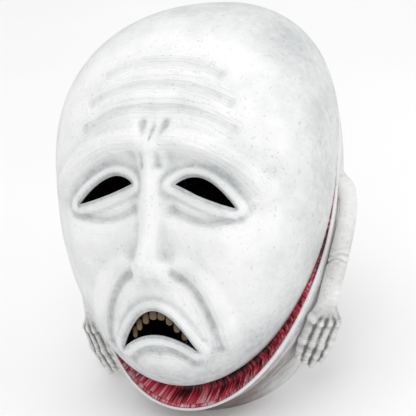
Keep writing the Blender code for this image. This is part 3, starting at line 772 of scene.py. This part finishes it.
def add_band(material):
    turns = np.linspace(0, 2 * math.pi, BAND_COLUMNS, endpoint=False)
    angles = turns - math.pi / 2 - BAND_CROWDING * np.sin(turns)
    shares = np.linspace(0, 1, BAND_ROWS)
    front, back = np.zeros((2, BAND_COLUMNS, BAND_ROWS, 3))
    fibre = np.zeros((BAND_COLUMNS, BAND_ROWS))
    growths = np.zeros(BAND_COLUMNS)
    middles = np.zeros((BAND_COLUMNS, 3))
    frames = []
    for i, angle in enumerate(angles):
        line, growth = band_line(np.array(angle))
        growths[i] = growth
        lengths = np.concatenate([[0], np.cumsum(np.linalg.norm(np.diff(line, axis=0), axis=1))])
        where = shares * lengths[-1]
        smooth = np.stack([np.interp(where, lengths, line[:, axis]) for axis in (0, 1)], -1)
        for _ in range(2):
            smooth[1:-1] = (smooth[:-2] + 2 * smooth[1:-1] + smooth[2:]) / 4
        heading = np.gradient(smooth, axis=0)
        heading /= np.linalg.norm(heading, axis=1, keepdims=True)
        aside = heading[:, ::-1] * (1, -1)
        frames.append((smooth, aside, edge_point(np.array(angle)), edge_out(np.array(angle))))
        middles[i] = frames[-1][2]
    run = np.concatenate([[0], np.cumsum(np.linalg.norm(np.diff(middles, axis=0), axis=1))])
    half = BAND_THICKNESS / 2
    for i, (smooth, aside, edge, out) in enumerate(frames):
        slant = run[i] + 0.004 * (shares - 0.5) * math.sin(run[i] / 0.013)
        ridge = np.array([
            noise.fractal(Vector((s / 0.0016, 0.9 * t, 3.1)), 0.8, 2.1, 3)
            + 0.6 * noise.noise(Vector((s / 0.0045, 1.6 * t, 8.4)))
            for s, t in zip(slant, shares)
        ])
        fibre[i] = ridge
        depth = (0.0014 * ridge - 0.0004) * math.sqrt(growths[i]) * np.sin(math.pi * shares) ** 0.5
        line = smooth + aside * (half + np.clip(depth, -0.0022, 0.0014))[:, None]
        rear = smooth - aside * half
        for target, points in ((front, line), (back, rear)):
            target[i] = edge + points[:, :1] * out + points[:, 1:] * np.array((0, 1, 0))
    # Where the seam is narrow, the band rises into it
    narrow = np.clip((0.52 - growths) / 0.22, 0, 1)
    lips = np.array([lip_point(np.array(angle)) for angle in angles])
    seam_line = (middles + lips) / 2
    outs = np.array([edge_out(np.array(angle)) for angle in angles])
    seam_line -= outs * 0.0009
    rise = np.exp(-(((shares - 0.5) / 0.16) ** 2))
    for j in range(BAND_ROWS):
        share = (narrow * rise[j])[:, None]
        front[:, j] += share * (seam_line - front[:, j])
    # Its torn edge reaches the inner side of the lip
    torn = np.array([noise.fractal(Vector((s / 0.002, 4.4, 0.0)), 0.9, 2.0, 3) for s in run])
    target = lips - outs * (WALL - 0.0003 + 0.0006 * torn)[:, None] + np.array((0, 0.0007, 0))
    for j in range(BAND_ROWS):
        reach = min(np.clip((shares[j] - 0.60) / 0.24, 0, 1), np.clip((1 - shares[j]) / 0.06, 0, 1))
        reach *= reach * (3 - 2 * reach)
        front[:, j] += (reach * (1 - narrow))[:, None] * (target - front[:, j])
    loop = np.concatenate([front, back[:, ::-1]], axis=1)
    width = loop.shape[1]
    faces = []
    for i in range(BAND_COLUMNS):
        this, nxt = i * width, (i + 1) % BAND_COLUMNS * width
        for j in range(width):
            k = (j + 1) % width
            faces.append((this + j, nxt + j, nxt + k, this + k))
    values = {
        "fibre": np.concatenate([fibre, np.zeros_like(fibre)], axis=1).ravel(),
        "share": np.tile(np.concatenate([shares, shares[::-1]]), BAND_COLUMNS),
        "run": np.repeat(run, width),
        "growth": np.repeat(growths, width),
    }
    points = loop.reshape(-1, 3)
    face_outwards(
        add_piece("raw_band_fibres", points, faces, material, ["raw_band"], values)
    )


# Teeth and gum

GUM_POINTS = 11
GUM_RINGS = 41
GUM_SIDES = 14
TOOTH_RINGS = 19
TOOTH_SIDES = 24


def gum_centre(x):
    across = x / FACE_HALF_WIDTH
    corner = MOUTH[3][0]
    up = MOUTH[1][1] + (MOUTH[3][1] - MOUTH[1][1]) * (across / corner) ** 2
    z = egg_place(across, up)[1] + 2 * GUM_RADIUS
    reach = GUM_RADIUS + GUM_CLEARANCE
    steps = np.linspace(-2, 2, 17) * reach
    wall = inner_face(*(axis.ravel() for axis in np.meshgrid(x + steps, z + steps)))
    apart = np.hypot(wall[:, 0] - x, wall[:, 2] - z)
    beside = apart < reach
    hold = wall[beside, 1] + np.sqrt(reach**2 - apart[beside] ** 2)
    return Vector((x, float(hold.max()), float(z)))


def behind_wall(middle, ahead, width):
    """The tooth's middle, moved back where the face's wall would come too near its front."""
    turn = math.atan2(ahead.y, ahead.x)
    along = np.array((math.cos(turn), math.sin(turn)))
    back = np.array((-math.sin(turn), math.cos(turn)))
    reach = width / 2 + GUM_CLEARANCE
    x = middle.x + np.linspace(-2 * reach, 2 * reach, 17)
    z = middle.z + np.linspace(-TOOTH_LENGTH / 2, TOOTH_LENGTH / 2, 13)
    wall = inner_face(*(axis.ravel() for axis in np.meshgrid(x, z)))[:, :2] - (middle.x, middle.y)
    beside = np.abs(wall @ along) < reach
    hold = (wall[beside] @ back).max() + TOOTH_THICKNESS / 2 + GUM_CLEARANCE
    return middle + Vector((*back, 0)) * max(0.0, float(hold))


def tooth_places():
    """The x of each tooth's middle and its width, from the right to the left."""
    span = sum(TOOTH_WIDTHS) + TOOTH_GAP * (len(TOOTH_WIDTHS) - 1)
    x = -span / 2
    places = []
    for width in TOOTH_WIDTHS:
        places.append((x + width / 2, width))
        x += width + TOOTH_GAP
    return places


def add_gum(end, material):
    """The lumpy gum strip, from -end to end."""
    known = np.linspace(-end, end, GUM_POINTS)
    samples = np.linspace(-end, end, GUM_RINGS)
    centres = np.array([gum_centre(s) for s in known])
    centres = np.stack([np.interp(samples, known, centres[:, k]) for k in range(3)], -1)
    rings = []
    for i, centre in enumerate(centres):
        closing = math.sqrt(max(0.0, 1 - (2 * i / (GUM_RINGS - 1) - 1) ** 10)) + 0.05
        for turn in np.linspace(0, 2 * math.pi, GUM_SIDES, endpoint=False):
            lump = 1 + 0.16 * noise.noise(Vector((i * 0.7, 2 * math.cos(turn), 2 * math.sin(turn))))
            radius = GUM_RADIUS * closing * lump * 0.97
            rings.append(centre + np.array((0, radius * math.cos(turn), radius * math.sin(turn))))
    faces = capped_faces(GUM_RINGS, GUM_SIDES)
    add_piece("gum_flesh", np.array(rings), faces, material, ["gum_strip"])


def add_tooth(number, x, width, material):
    gum = gum_centre(x)
    ahead = gum_centre(x + width / 2) - gum_centre(x - width / 2)
    underside = GUM_RADIUS * ahead.length / math.hypot(ahead.x, ahead.y) + abs(ahead.z) / 2
    middle = gum - Vector((0, 0, underside + 2 * CLEARANCE + TOOTH_LENGTH / 2))
    middle = behind_wall(middle, ahead, width)
    turned = Matrix.Rotation(math.atan2(ahead.y, ahead.x), 3, "Z")
    points = []
    levels = np.linspace(-1, 1, TOOTH_RINGS)
    for level in levels:
        crown = (1 - abs(level) ** 5) ** 0.5 if level < 0 else (1 - 0.9 * level**8) ** 0.5
        taper = (1 - 0.16 * max(level, 0)) * max(crown, 0.02)
        depth = TOOTH_THICKNESS / 2 * (0.75 + 0.25 * level) * max(crown, 0.1)
        for spin in np.linspace(0, 2 * math.pi, TOOTH_SIDES, endpoint=False):
            c, s = math.cos(spin), math.sin(spin)
            wide = math.copysign(abs(c) ** 0.75, c) * width / 2 * taper
            deep = math.copysign(abs(s) ** 0.8, s) * depth
            groove = 1 + 0.05 * math.sin(9 * c + number)
            points.append(middle + turned @ Vector((wide, deep * groove, level * TOOTH_LENGTH / 2)))
    points = np.array(points)
    height = np.repeat((levels + 1) / 2, TOOTH_SIDES)
    values = {"height": height, "number": np.full(len(points), float(number))}
    faces = capped_faces(TOOTH_RINGS, TOOTH_SIDES)
    add_piece(f"worn_tooth_{number}", points, faces, material, [f"tooth_{number}"], values)


def add_teeth(bone, flesh):
    places = tooth_places()
    add_gum(places[-1][0] + places[-1][1], flesh)
    for number, (x, width) in enumerate(places, 1):
        add_tooth(number, x, width, bone)


# The arms

NAIL_HALF_WIDTH = 0.0027
NAIL_HALF_LENGTH = 0.0036
NAIL_POWER = 2.6
# Place down the arm, tilt, curve, depth and width of its creases
ARM_CREASES = (
    (0.288, -0.10, -15.0, 0.0003, 0.0010),
    (0.320, -0.15, -30.0, 0.0009, 0.0013),
    (0.346, -0.42, -45.0, 0.0011, 0.0013),
    (0.372, -0.45, -20.0, 0.0003, 0.0011),
    (0.500, -0.15, 18.0, 0.0005, 0.0012),
    (0.530, -0.10, 20.0, 0.0004, 0.0010),
)


def arm_place(across, back, drop):
    return np.array((across * FACE_HALF_WIDTH, back * HOOD_DEPTH, -drop * ARM_DROP))


def limb_line(count=5):
    """Places and radii along a smooth line through the arm's joints."""
    joints = np.array([(*arm_place(*row[:3]), row[3] * ARM_RADIUS) for row in ARM_TABLE])
    ends = np.concatenate([[2 * joints[0] - joints[1]], joints, [2 * joints[-1] - joints[-2]]])
    line = []
    for before, start, end, after in zip(ends, ends[1:], ends[2:], ends[3:]):
        for u in np.arange(count) / count:
            bow = (2 * start + (end - before) * u + (2 * before - 5 * start + 4 * end - after) * u**2) / 2
            line.append(bow + (3 * start - before - 3 * end + after) * u**3 / 2)
    return np.array(line + [joints[-1]])


def arm_bones():
    """The limb's rods and the hand's, start, end and radii, and each finger's three places."""
    line = limb_line()
    limb = [(a[:3], b[:3], a[3], b[3]) for a, b in zip(line, line[1:])]
    wrist, palm = arm_place(*ARM_TABLE[4][:3]), arm_place(*ARM_TABLE[5][:3])
    fingers = [tuple(arm_place(*place) for place in row) for row in FINGER_TABLE]
    hand = []
    for knuckle, _middle, _tip in fingers:
        hand.append((wrist, knuckle, 1.1 * FINGER_RADIUS, 1.0 * FINGER_RADIUS))
        hand.append((palm, knuckle, 1.45 * FINGER_RADIUS, 1.0 * FINGER_RADIUS))
    # The web of rubber above the shoulder, which runs out into the hood
    start, end = arm_place(-0.010, 0.0, 0.02), arm_place(-0.075, 0.02, -0.13)
    hand.append((start, end, 0.95 * ARM_RADIUS, 0.45 * ARM_RADIUS))
    return limb, hand, fingers


def nail_frames():
    """For each finger, the middle of its nail and its side, length and outward directions."""
    frames = []
    fingers = arm_bones()[2]
    across = fingers[-1][0] - fingers[0][0]
    for _knuckle, middle, tip in fingers:
        ahead = (tip - middle) / np.linalg.norm(tip - middle)
        front = np.cross(across, ahead)
        front *= -np.sign(front[1]) / np.linalg.norm(front)
        frames.append((tip + 0.0002 * ahead, np.cross(front, ahead), ahead, front))
    return frames


def nail_reach(local, side, ahead):
    """How far out places lie in a nail, from its middle, 1 at its edge."""
    across = (np.abs(local @ side) / NAIL_HALF_WIDTH) ** NAIL_POWER
    return across + (np.abs(local @ ahead) / NAIL_HALF_LENGTH) ** NAIL_POWER


def rod_gap(points, start, end, start_radius, end_radius):
    """How far points lie outside a tapered rod."""
    run = end - start
    share = np.clip(((points - start) @ run) / (run @ run), 0, 1)
    centre = start + share[:, None] * run
    return np.linalg.norm(points - centre, axis=1) - (start_radius + share * (end_radius - start_radius))


def soft_union(gaps, blend):
    """The smallest of the gaps, blended where they are alike."""
    gaps = np.array(gaps)
    low = gaps.min(0)
    return low - blend * np.log(np.exp(-(gaps - low) / blend).sum(0))


def arm_gap(points):
    """How far points lie outside the arm's skin."""
    limb, hand, fingers = arm_bones()
    chain = np.min([rod_gap(points, *bone) for bone in limb], axis=0)
    parts = [soft_union([chain] + [rod_gap(points, *bone) for bone in hand], 0.0008)]
    for knuckle, middle, tip in fingers:
        last = middle + 0.5 * (tip - middle)
        rods = [
            rod_gap(points, knuckle, middle, 1.05 * FINGER_RADIUS, 0.86 * FINGER_RADIUS),
            rod_gap(points, middle, last, 0.90 * FINGER_RADIUS, 0.78 * FINGER_RADIUS),
            rod_gap(points, last, tip, 0.80 * FINGER_RADIUS, 0.72 * FINGER_RADIUS),
            np.linalg.norm(points - middle, axis=1) - 0.95 * FINGER_RADIUS,
            np.linalg.norm(points - knuckle, axis=1) - 1.05 * FINGER_RADIUS,
        ]
        parts.append(soft_union(rods, 0.0007))
    gap = soft_union(parts, 0.0006)
    frames = nail_frames()
    heel = arm_place(*ARM_TABLE[4][:3])
    for (knuckle, middle, tip), (centre, side, ahead, front) in zip(fingers, frames):
        # A tendon on the back of the hand
        start = heel + 0.35 * (knuckle - heel) + 0.0065 * front
        tendon = rod_gap(points, start, knuckle + 0.0040 * front, 0, 0)
        gap -= 0.0011 * np.exp(-((tendon / 0.0024) ** 2))
        # Creases over the finger's joints, on its outer side
        for joint, after in ((knuckle, middle), (middle, tip)):
            run = (after - joint) / np.linalg.norm(after - joint)
            local = points - joint
            near = np.exp(-((np.linalg.norm(local, axis=1) / 0.0055) ** 4)) * (local @ front > 0)
            gap += 0.00024 * near * np.cos(local @ run / 0.0019 * 2 * math.pi + 1.0)
        local = points - centre
        shape = nail_reach(local, side, ahead)
        facing = local @ front > 0
        groove = np.exp(-(((shape - 1.2) / 0.40) ** 2))
        plate = 1 / (1 + np.exp(np.clip((shape - 1) / 0.10, -30, 30)))
        gap += facing * (0.0005 * groove - 0.0003 * plate)
    # Creases round the arm at the elbow and the wrist
    for level, tilt, curve, depth, spread in ARM_CREASES:
        across = points[:, 0] - 0.002
        bow = 0.0011 * np.sin(points[:, 0] / 0.0031 + 40 * level) + tilt * across + curve * across**2
        height = -points[:, 2] - level * ARM_DROP + bow
        fade = 0.55 + 0.45 * np.sin(points[:, 0] / 0.0052 + 25 * level)
        gap += depth * fade * np.exp(-((height / spread) ** 2))
    return gap


def nail_share(points):
    share = np.zeros(len(points))
    for centre, side, ahead, front in nail_frames():
        local = points - centre
        shape = nail_reach(local, side, ahead)
        plate = (local @ front > 0) / (1 + np.exp(np.clip((shape - 1) / 0.12, -30, 30)))
        share = np.maximum(share, plate)
    return share


def arm_mesh():
    shape = bmesh.new()
    limb, hand, fingers = arm_bones()
    rods = limb + hand
    for knuckle, middle, tip in fingers:
        rods.append((knuckle, middle, 1.1 * FINGER_RADIUS, FINGER_RADIUS))
        rods.append((middle, tip, FINGER_RADIUS, 0.8 * FINGER_RADIUS))
    for start, end, start_radius, end_radius in rods:
        start, end = Vector(start), Vector(end)
        run = end - start
        turn = Vector((0, 0, 1)).rotation_difference(run).to_matrix().to_4x4()
        bmesh.ops.create_cone(
            shape, cap_ends=True, segments=20, radius1=start_radius, radius2=end_radius,
            depth=run.length, matrix=Matrix.Translation((start + end) / 2) @ turn,
        )
        for place, radius in ((start, start_radius), (end, end_radius)):
            bmesh.ops.create_icosphere(shape, subdivisions=3, radius=radius, matrix=Matrix.Translation(place))
    mesh = bpy.data.meshes.new("arm_start")
    shape.to_mesh(mesh)
    shape.free()
    start = bpy.data.objects.new("arm_start", mesh)
    bpy.context.scene.collection.objects.link(start)
    remesh = start.modifiers.new("skin", "REMESH")
    remesh.mode = "VOXEL"
    remesh.voxel_size = 0.0008
    graph = bpy.context.evaluated_depsgraph_get()
    skin = bpy.data.meshes.new_from_object(start.evaluated_get(graph))
    bpy.data.objects.remove(start, do_unlink=True)
    points = np.array([vert.co[:] for vert in skin.vertices])
    faces = [tuple(face.vertices) for face in skin.polygons]
    step = 0.0002
    for _ in range(7):
        gap = arm_gap(points)
        slope = np.stack([(arm_gap(points + step * axis) - gap) / step for axis in np.eye(3)], -1)
        steep = np.maximum((slope**2).sum(1, keepdims=True), 0.3)
        points = points - np.clip(gap[:, None] * slope / steep, -0.0012, 0.0012) * 0.8
    return points, faces


def hood_wall():
    """The outer side of the hood, to look up the nearest point of."""
    angles = np.linspace(0, 2 * math.pi, 96, endpoint=False) - math.pi / 2
    grid = np.array([hood_point(angles, np.full(96, s)) for s in np.linspace(0, 1, 40)])
    faces = ring_faces(40, 96)
    points = grid.reshape(-1, 3)
    corners = points[np.array(faces)]
    flat = np.cross(corners[:, 2] - corners[:, 0], corners[:, 3] - corners[:, 1])
    if (flat * (corners.mean(1) - points.mean(0))).sum() < 0:
        faces = [face[::-1] for face in faces]
    return BVHTree.FromPolygons([Vector(point) for point in points], faces)


def add_arms(material):
    points, faces = arm_mesh()
    gap = np.zeros(len(points))
    for step in (0.0014, 0.0030):
        for axis in np.concatenate([np.eye(3), -np.eye(3)]):
            gap += arm_gap(points + step * axis) / 12
    # Painted shade: darker in the hollows between the fingers, in the creases and at the joints, stronger
    # over the hand, and the hand below the wrist a little darker overall.
    hollow = np.clip(0.40 - gap / 0.0008, 0, 1)
    below = np.clip((-points[:, 2] / ARM_DROP - 0.56) / 0.08, 0, 1)
    hollow = hollow * (0.5 + 0.8 * below) + 0.10 * below
    wall = hood_wall()
    nails = nail_share(points)
    for name, side, inward, drop, back, splay, turned in ARMS:
        shoulder = arm_place(SHOULDER_ACROSS - inward, back, drop) + (0, SHOULDER_Y, SHOULDER_Z)
        swing = Matrix.Rotation(math.radians(side * turned), 3, "Z")
        swing = np.array(swing @ Matrix.Rotation(math.radians(-side * splay), 3, "Y"))
        place = (points * (side, 1, 1)) @ swing.T + shoulder * (side, 1, 1)
        # Inside the hood the arm ends in the hood's wall
        for i, point in enumerate(place):
            nearest_point, normal, _index, _gap = wall.find_nearest(Vector(point))
            if (Vector(point) - nearest_point).dot(normal) < -WALL / 2:
                place[i] = nearest_point - normal * WALL / 2
        values = {
            "grey_wash_and_shade": np.clip(1.2 * hollow, 0, 1),
            "nail": nails,
            "flow": -points[:, 2],
            "lines": np.full(len(points), 0.5),
        }
        ordered = [face if side > 0 else face[::-1] for face in faces]
        add_piece(f"{name}_skin", place, ordered, material, [name], values)


# Materials

class Nodes:
    """Builds the node tree of one material."""

    def __init__(self, name):
        self.material = bpy.data.materials.new(name)
        self.material.use_nodes = True
        self.tree = self.material.node_tree
        self.surface = self.tree.nodes["Principled BSDF"]
        self.place = self.tree.nodes.new("ShaderNodeTexCoord").outputs["Object"]

    def fill(self, socket, value):
        if isinstance(value, bpy.types.NodeSocket):
            self.tree.links.new(value, socket)
        elif isinstance(value, tuple) and len(value) == 3 and socket.type == "RGBA":
            socket.default_value = (*value, 1)
        else:
            socket.default_value = value

    def add(self, kind, *inputs, output=0, **settings):
        node = self.tree.nodes.new(kind)
        for label, value in settings.items():
            setattr(node, label, value)
        for position, value in inputs:
            self.fill(node.inputs[position], value)
        return node.outputs[output]

    def attribute(self, name):
        return self.add("ShaderNodeAttribute", attribute_name=name, output="Fac")

    def sum(self, operation, *values):
        inputs = list(enumerate(values))
        return self.add("ShaderNodeMath", *inputs, operation=operation)

    def times(self, first, second):
        return self.sum("MULTIPLY", first, second)

    def plus(self, *values):
        total = values[0]
        for value in values[1:]:
            total = self.sum("ADD", total, value)
        return total

    def stretched(self, run, run_scale, share, share_scale):
        """A place for noise that is drawn out along one of two directions."""
        inputs = ((0, self.times(run, run_scale)), (1, self.times(share, share_scale)))
        return self.add("ShaderNodeCombineXYZ", *inputs)

    def noise(self, scale, detail=3.0, rough=0.5, warp=0.0, vector=None):
        inputs = [("Vector", vector or self.place), ("Scale", scale), ("Detail", detail)]
        inputs += [("Roughness", rough), ("Distortion", warp)]
        return self.add("ShaderNodeTexNoise", *inputs)

    def steps(self, value, low, high, to_low=0.0, to_high=1.0):
        inputs = [("Value", value), ("From Min", low), ("From Max", high)]
        inputs += [("To Min", to_low), ("To Max", to_high)]
        return self.add("ShaderNodeMapRange", *inputs)

    def mix(self, share, first, second, blend="MIX"):
        inputs = ((0, share), (6, first), (7, second))
        return self.add("ShaderNodeMix", *inputs, data_type="RGBA", blend_type=blend, output=2)

    def bump(self, height, distance, strength=1.0, under=None):
        inputs = [("Height", height), ("Distance", distance), ("Strength", strength)]
        if under is not None:
            inputs.append(("Normal", under))
        return self.add("ShaderNodeBump", *inputs)

    def finish(self, **inputs):
        for label, value in inputs.items():
            self.fill(self.surface.inputs[label.replace("_", " ")], value)
        return self.material


def pale_material(name, white, grey, brown_below=None, nails=False):
    nodes = Nodes(name)
    grey_wash_and_shade = nodes.attribute("grey_wash_and_shade")
    patches = nodes.noise(28.0, 4.0, 0.55)
    mottled = nodes.noise(160.0, 3.0, 0.6)
    specks = nodes.steps(nodes.noise(420.0, 2.0, 0.5), 0.655, 0.72)
    pits = nodes.steps(nodes.noise(190.0, 1.0, 0.5, 0.6), 0.70, 0.76)
    flow = nodes.attribute("flow")
    wander = nodes.times(nodes.noise(70.0, 2.0, 0.5), 5.0)
    wave = nodes.sum("SINE", nodes.plus(nodes.times(flow, 2 * math.pi / 0.0019), wander))
    lines = nodes.times(wave, nodes.attribute("lines"))
    # Grey wash together with painted shade, mottled.
    deep = nodes.times(grey_wash_and_shade, nodes.steps(mottled, 0.3, 0.7, 0.65, 1.15))
    faint = nodes.steps(patches, 0.42, 0.72, 0.0, 0.26)
    # Painted shade in the troughs of the fine crease lines.
    crease_shade = nodes.times(nodes.steps(lines, -1.0, -0.3, 1.0, 0.0), 0.10)
    share = nodes.plus(deep, faint, nodes.times(specks, 0.25), nodes.times(pits, 0.18), crease_shade)
    share = nodes.add("ShaderNodeClamp", (0, share))
    colour = nodes.mix(share, white, grey)
    # Brown mixed in towards the hood's underside and along its folds.
    if brown_below:
        amount = nodes.times(nodes.attribute("brown_below"), nodes.steps(patches, 0.3, 0.7, 0.5, 1.1))
        colour = nodes.mix(nodes.add("ShaderNodeClamp", (0, amount)), colour, brown_below)
    if nails:
        colour = nodes.mix(nodes.times(nodes.attribute("nail"), 0.4), colour, (0.60, 0.58, 0.54))
    # Painted shade: the inside is coloured near black with dark red patches, standing in for the shade inside
    # the mask.
    inner = nodes.attribute("inner")
    patchy = nodes.steps(nodes.noise(60.0), 0.35, 0.65)
    shaded_inside = nodes.mix(patchy, (0.012, 0.006, 0.006), (0.10, 0.012, 0.014))
    colour = nodes.mix(inner, colour, shaded_inside)
    grain = nodes.noise(1100.0, 2.0, 0.6)
    height = nodes.plus(nodes.times(grain, 0.35), nodes.times(lines, 0.5))
    height = nodes.sum("SUBTRACT", height, nodes.times(specks, 0.8))
    height = nodes.sum("SUBTRACT", height, nodes.times(pits, 1.0))
    normal = nodes.bump(height, 0.00022)
    normal = nodes.bump(mottled, 0.0006, 0.6, normal)
    rough = nodes.steps(patches, 0.3, 0.7, 0.58, 0.74)
    return nodes.finish(Base_Color=colour, Roughness=rough, Normal=normal)


def band_material():
    nodes = Nodes("raw_red_latex")
    fibre = nodes.attribute("fibre")
    run, share = nodes.attribute("run"), nodes.attribute("share")
    place = nodes.stretched(run, 1000.0, share, 2.4)
    threads = nodes.noise(1.0, 4.0, 0.6, 0.4, place)
    wide = nodes.stretched(run, 230.0, share, 1.6)
    clumps = nodes.noise(1.0, 2.0, 0.5, 0.8, wide)
    level = nodes.plus(nodes.times(fibre, 0.55), nodes.times(nodes.sum("SUBTRACT", threads, 0.5), 2.6))
    # Black towards the face, painted shade in the depth of the trough; torn red and pale threads towards the
    # lip
    open_share = nodes.steps(nodes.attribute("growth"), 0.02, 0.25)
    near_lip = nodes.steps(share, 0.28, 0.78, -0.75, 0.30)
    level = nodes.plus(level, nodes.times(open_share, near_lip))
    level = nodes.plus(level, nodes.steps(open_share, 0.0, 1.0, 0.35, 0.06))
    # Low places turn black, painted shade between the fibres; the highest turn pale pink, partly pale threads
    # and partly painted highlight on the ridge tops.
    colour = nodes.mix(nodes.steps(level, -0.50, -0.10), (0.010, 0.005, 0.006), (0.58, 0.022, 0.055))
    colour = nodes.mix(nodes.steps(level, 0.0, 0.32), colour, (0.86, 0.11, 0.17))
    colour = nodes.mix(nodes.steps(level, 0.32, 0.62), colour, (0.93, 0.62, 0.65))
    # Black clumps towards the face where the gap is open, painted shade in its depth.
    dark = nodes.times(nodes.steps(clumps, 0.54, 0.62), open_share)
    dark = nodes.times(dark, nodes.steps(share, 0.66, 0.82, 1.0, 0.1))
    colour = nodes.mix(nodes.times(dark, 0.85), colour, (0.012, 0.006, 0.007))
    normal = nodes.bump(threads, 0.0009, 0.8)
    rough = nodes.steps(threads, 0.3, 0.7, 0.34, 0.55)
    return nodes.finish(Base_Color=colour, Roughness=rough, Normal=normal)


def bone_material():
    nodes = Nodes("stained_and_shaded_bone")
    height = nodes.attribute("height")
    streaks = nodes.add("ShaderNodeMapping", ("Vector", nodes.place), ("Scale", (700.0, 700.0, 90.0)))
    grain = nodes.noise(1.0, 4.0, 0.6, 0.3, streaks)
    # The brown is partly stain, partly painted shade for the dark of the mouth, and darkest towards the gum
    # as painted shade under the lip; the darker streaks are stain.
    colour = nodes.mix(nodes.steps(height, 0.1, 0.9), (0.17, 0.115, 0.048), (0.055, 0.03, 0.013))
    colour = nodes.mix(nodes.steps(grain, 0.42, 0.68, 0.0, 0.75), colour, (0.06, 0.032, 0.015))
    normal = nodes.bump(grain, 0.0004)
    return nodes.finish(Base_Color=colour, Roughness=nodes.steps(grain, 0.3, 0.7, 0.3, 0.5), Normal=normal)


def flesh_material():
    nodes = Nodes("dark_flesh_latex")
    lumps = nodes.noise(500.0, 4.0, 0.6)
    colour = nodes.mix(nodes.steps(lumps, 0.35, 0.65), (0.05, 0.004, 0.006), (0.30, 0.02, 0.03))
    return nodes.finish(Base_Color=colour, Roughness=0.35, Normal=nodes.bump(lumps, 0.0008))


def floor_material():
    nodes = Nodes("pale_floor")
    speckle = nodes.noise(3.0, 2.0)
    colour = nodes.mix(nodes.steps(speckle, 0.3, 0.7), (0.90, 0.90, 0.90), (0.93, 0.93, 0.93))
    return nodes.finish(Base_Color=colour, Roughness=0.9)


# Floor, light and camera

CHALK_WHITE = (0.86, 0.865, 0.86)
# The camera's place round the mask, in degrees and metres, before it leans back with it
AZIMUTH = 24
ELEVATION = 8
ROLL_ANGLE = -2
DISTANCE = 1.4
TARGET = (0, 0, 0.205)
PHOTO_WIDTH = 416
PIXEL = 0.0009


def add_floor():
    shape = bmesh.new()
    bmesh.ops.create_grid(shape, x_segments=4, y_segments=4, size=6)
    mesh = bpy.data.meshes.new("studio_floor")
    shape.to_mesh(mesh)
    shape.free()
    mesh.materials.append(floor_material())
    floor = bpy.data.objects.new("studio_floor", mesh)
    bpy.context.scene.collection.objects.link(floor)


def add_light(name, place, size, power, target):
    lamp = bpy.data.lights.new(name, "AREA")
    lamp.shape = "DISK"
    lamp.size = size
    lamp.energy = power
    light = bpy.data.objects.new(name, lamp)
    bpy.context.scene.collection.objects.link(light)
    aim = Vector(target) - Vector(place)
    light.matrix_world = Matrix.Translation(place) @ aim.to_track_quat("-Z", "Y").to_matrix().to_4x4()


def add_lights():
    world = bpy.data.worlds.new("studio_air")
    world.use_nodes = True
    world.node_tree.nodes["Background"].inputs["Color"].default_value = (1.0, 1.0, 1.0, 1)
    world.node_tree.nodes["Background"].inputs["Strength"].default_value = 0.88
    bpy.context.scene.world = world
    bpy.context.scene.view_settings.view_transform = "Standard"
    add_light("front_light", (0.6, -1.2, 2.0), 1.0, 5.0, (0, 0, 0.2))
    add_light("side_light", (1.5, -0.3, 0.6), 0.8, 3.0, (0, 0, 0.14))
    add_light("top_light", (-0.2, 0.2, 2.6), 2.0, 10.0, (0, 0, 0))


def add_camera():
    azimuth, elevation, roll = (math.radians(angle) for angle in (AZIMUTH, ELEVATION, ROLL_ANGLE))
    back = Vector((
        math.sin(azimuth) * math.cos(elevation),
        -math.cos(azimuth) * math.cos(elevation),
        math.sin(elevation),
    ))
    right = Vector((math.cos(azimuth), math.sin(azimuth), 0))
    up = back.cross(right)
    turned_right = math.cos(roll) * right + math.sin(roll) * up
    turned_up = math.cos(roll) * up - math.sin(roll) * right
    matrix = Matrix((turned_right, turned_up, back)).transposed().to_4x4()
    matrix.translation = Vector(TARGET) + back * DISTANCE
    lens = bpy.data.cameras.new("photo_camera")
    camera = bpy.data.objects.new("photo_camera", lens)
    bpy.context.scene.collection.objects.link(camera)
    camera.matrix_world = LEAN @ matrix
    lens.sensor_width = 36
    lens.lens = DISTANCE / PIXEL * lens.sensor_width / PHOTO_WIDTH
    bpy.context.scene.camera = camera


# The greys are mixed in as grey wash and painted shade; the arms' near-black grey is painted shade between
# the fingers, in the creases and over the hand.
face_latex = pale_material("chalky_latex_face", CHALK_WHITE, (0.40, 0.42, 0.43))
hood_latex = pale_material("chalky_latex_hood", CHALK_WHITE, (0.33, 0.31, 0.335), brown_below=(0.17, 0.12, 0.095))
arm_latex = pale_material("chalky_latex_arms", (0.88, 0.88, 0.87), (0.14, 0.14, 0.135), nails=True)
add_face(face_latex)
add_hood(hood_latex)
add_band(band_material())
add_teeth(bone_material(), flesh_material())
add_arms(arm_latex)
add_floor()
add_lights()
add_camera()
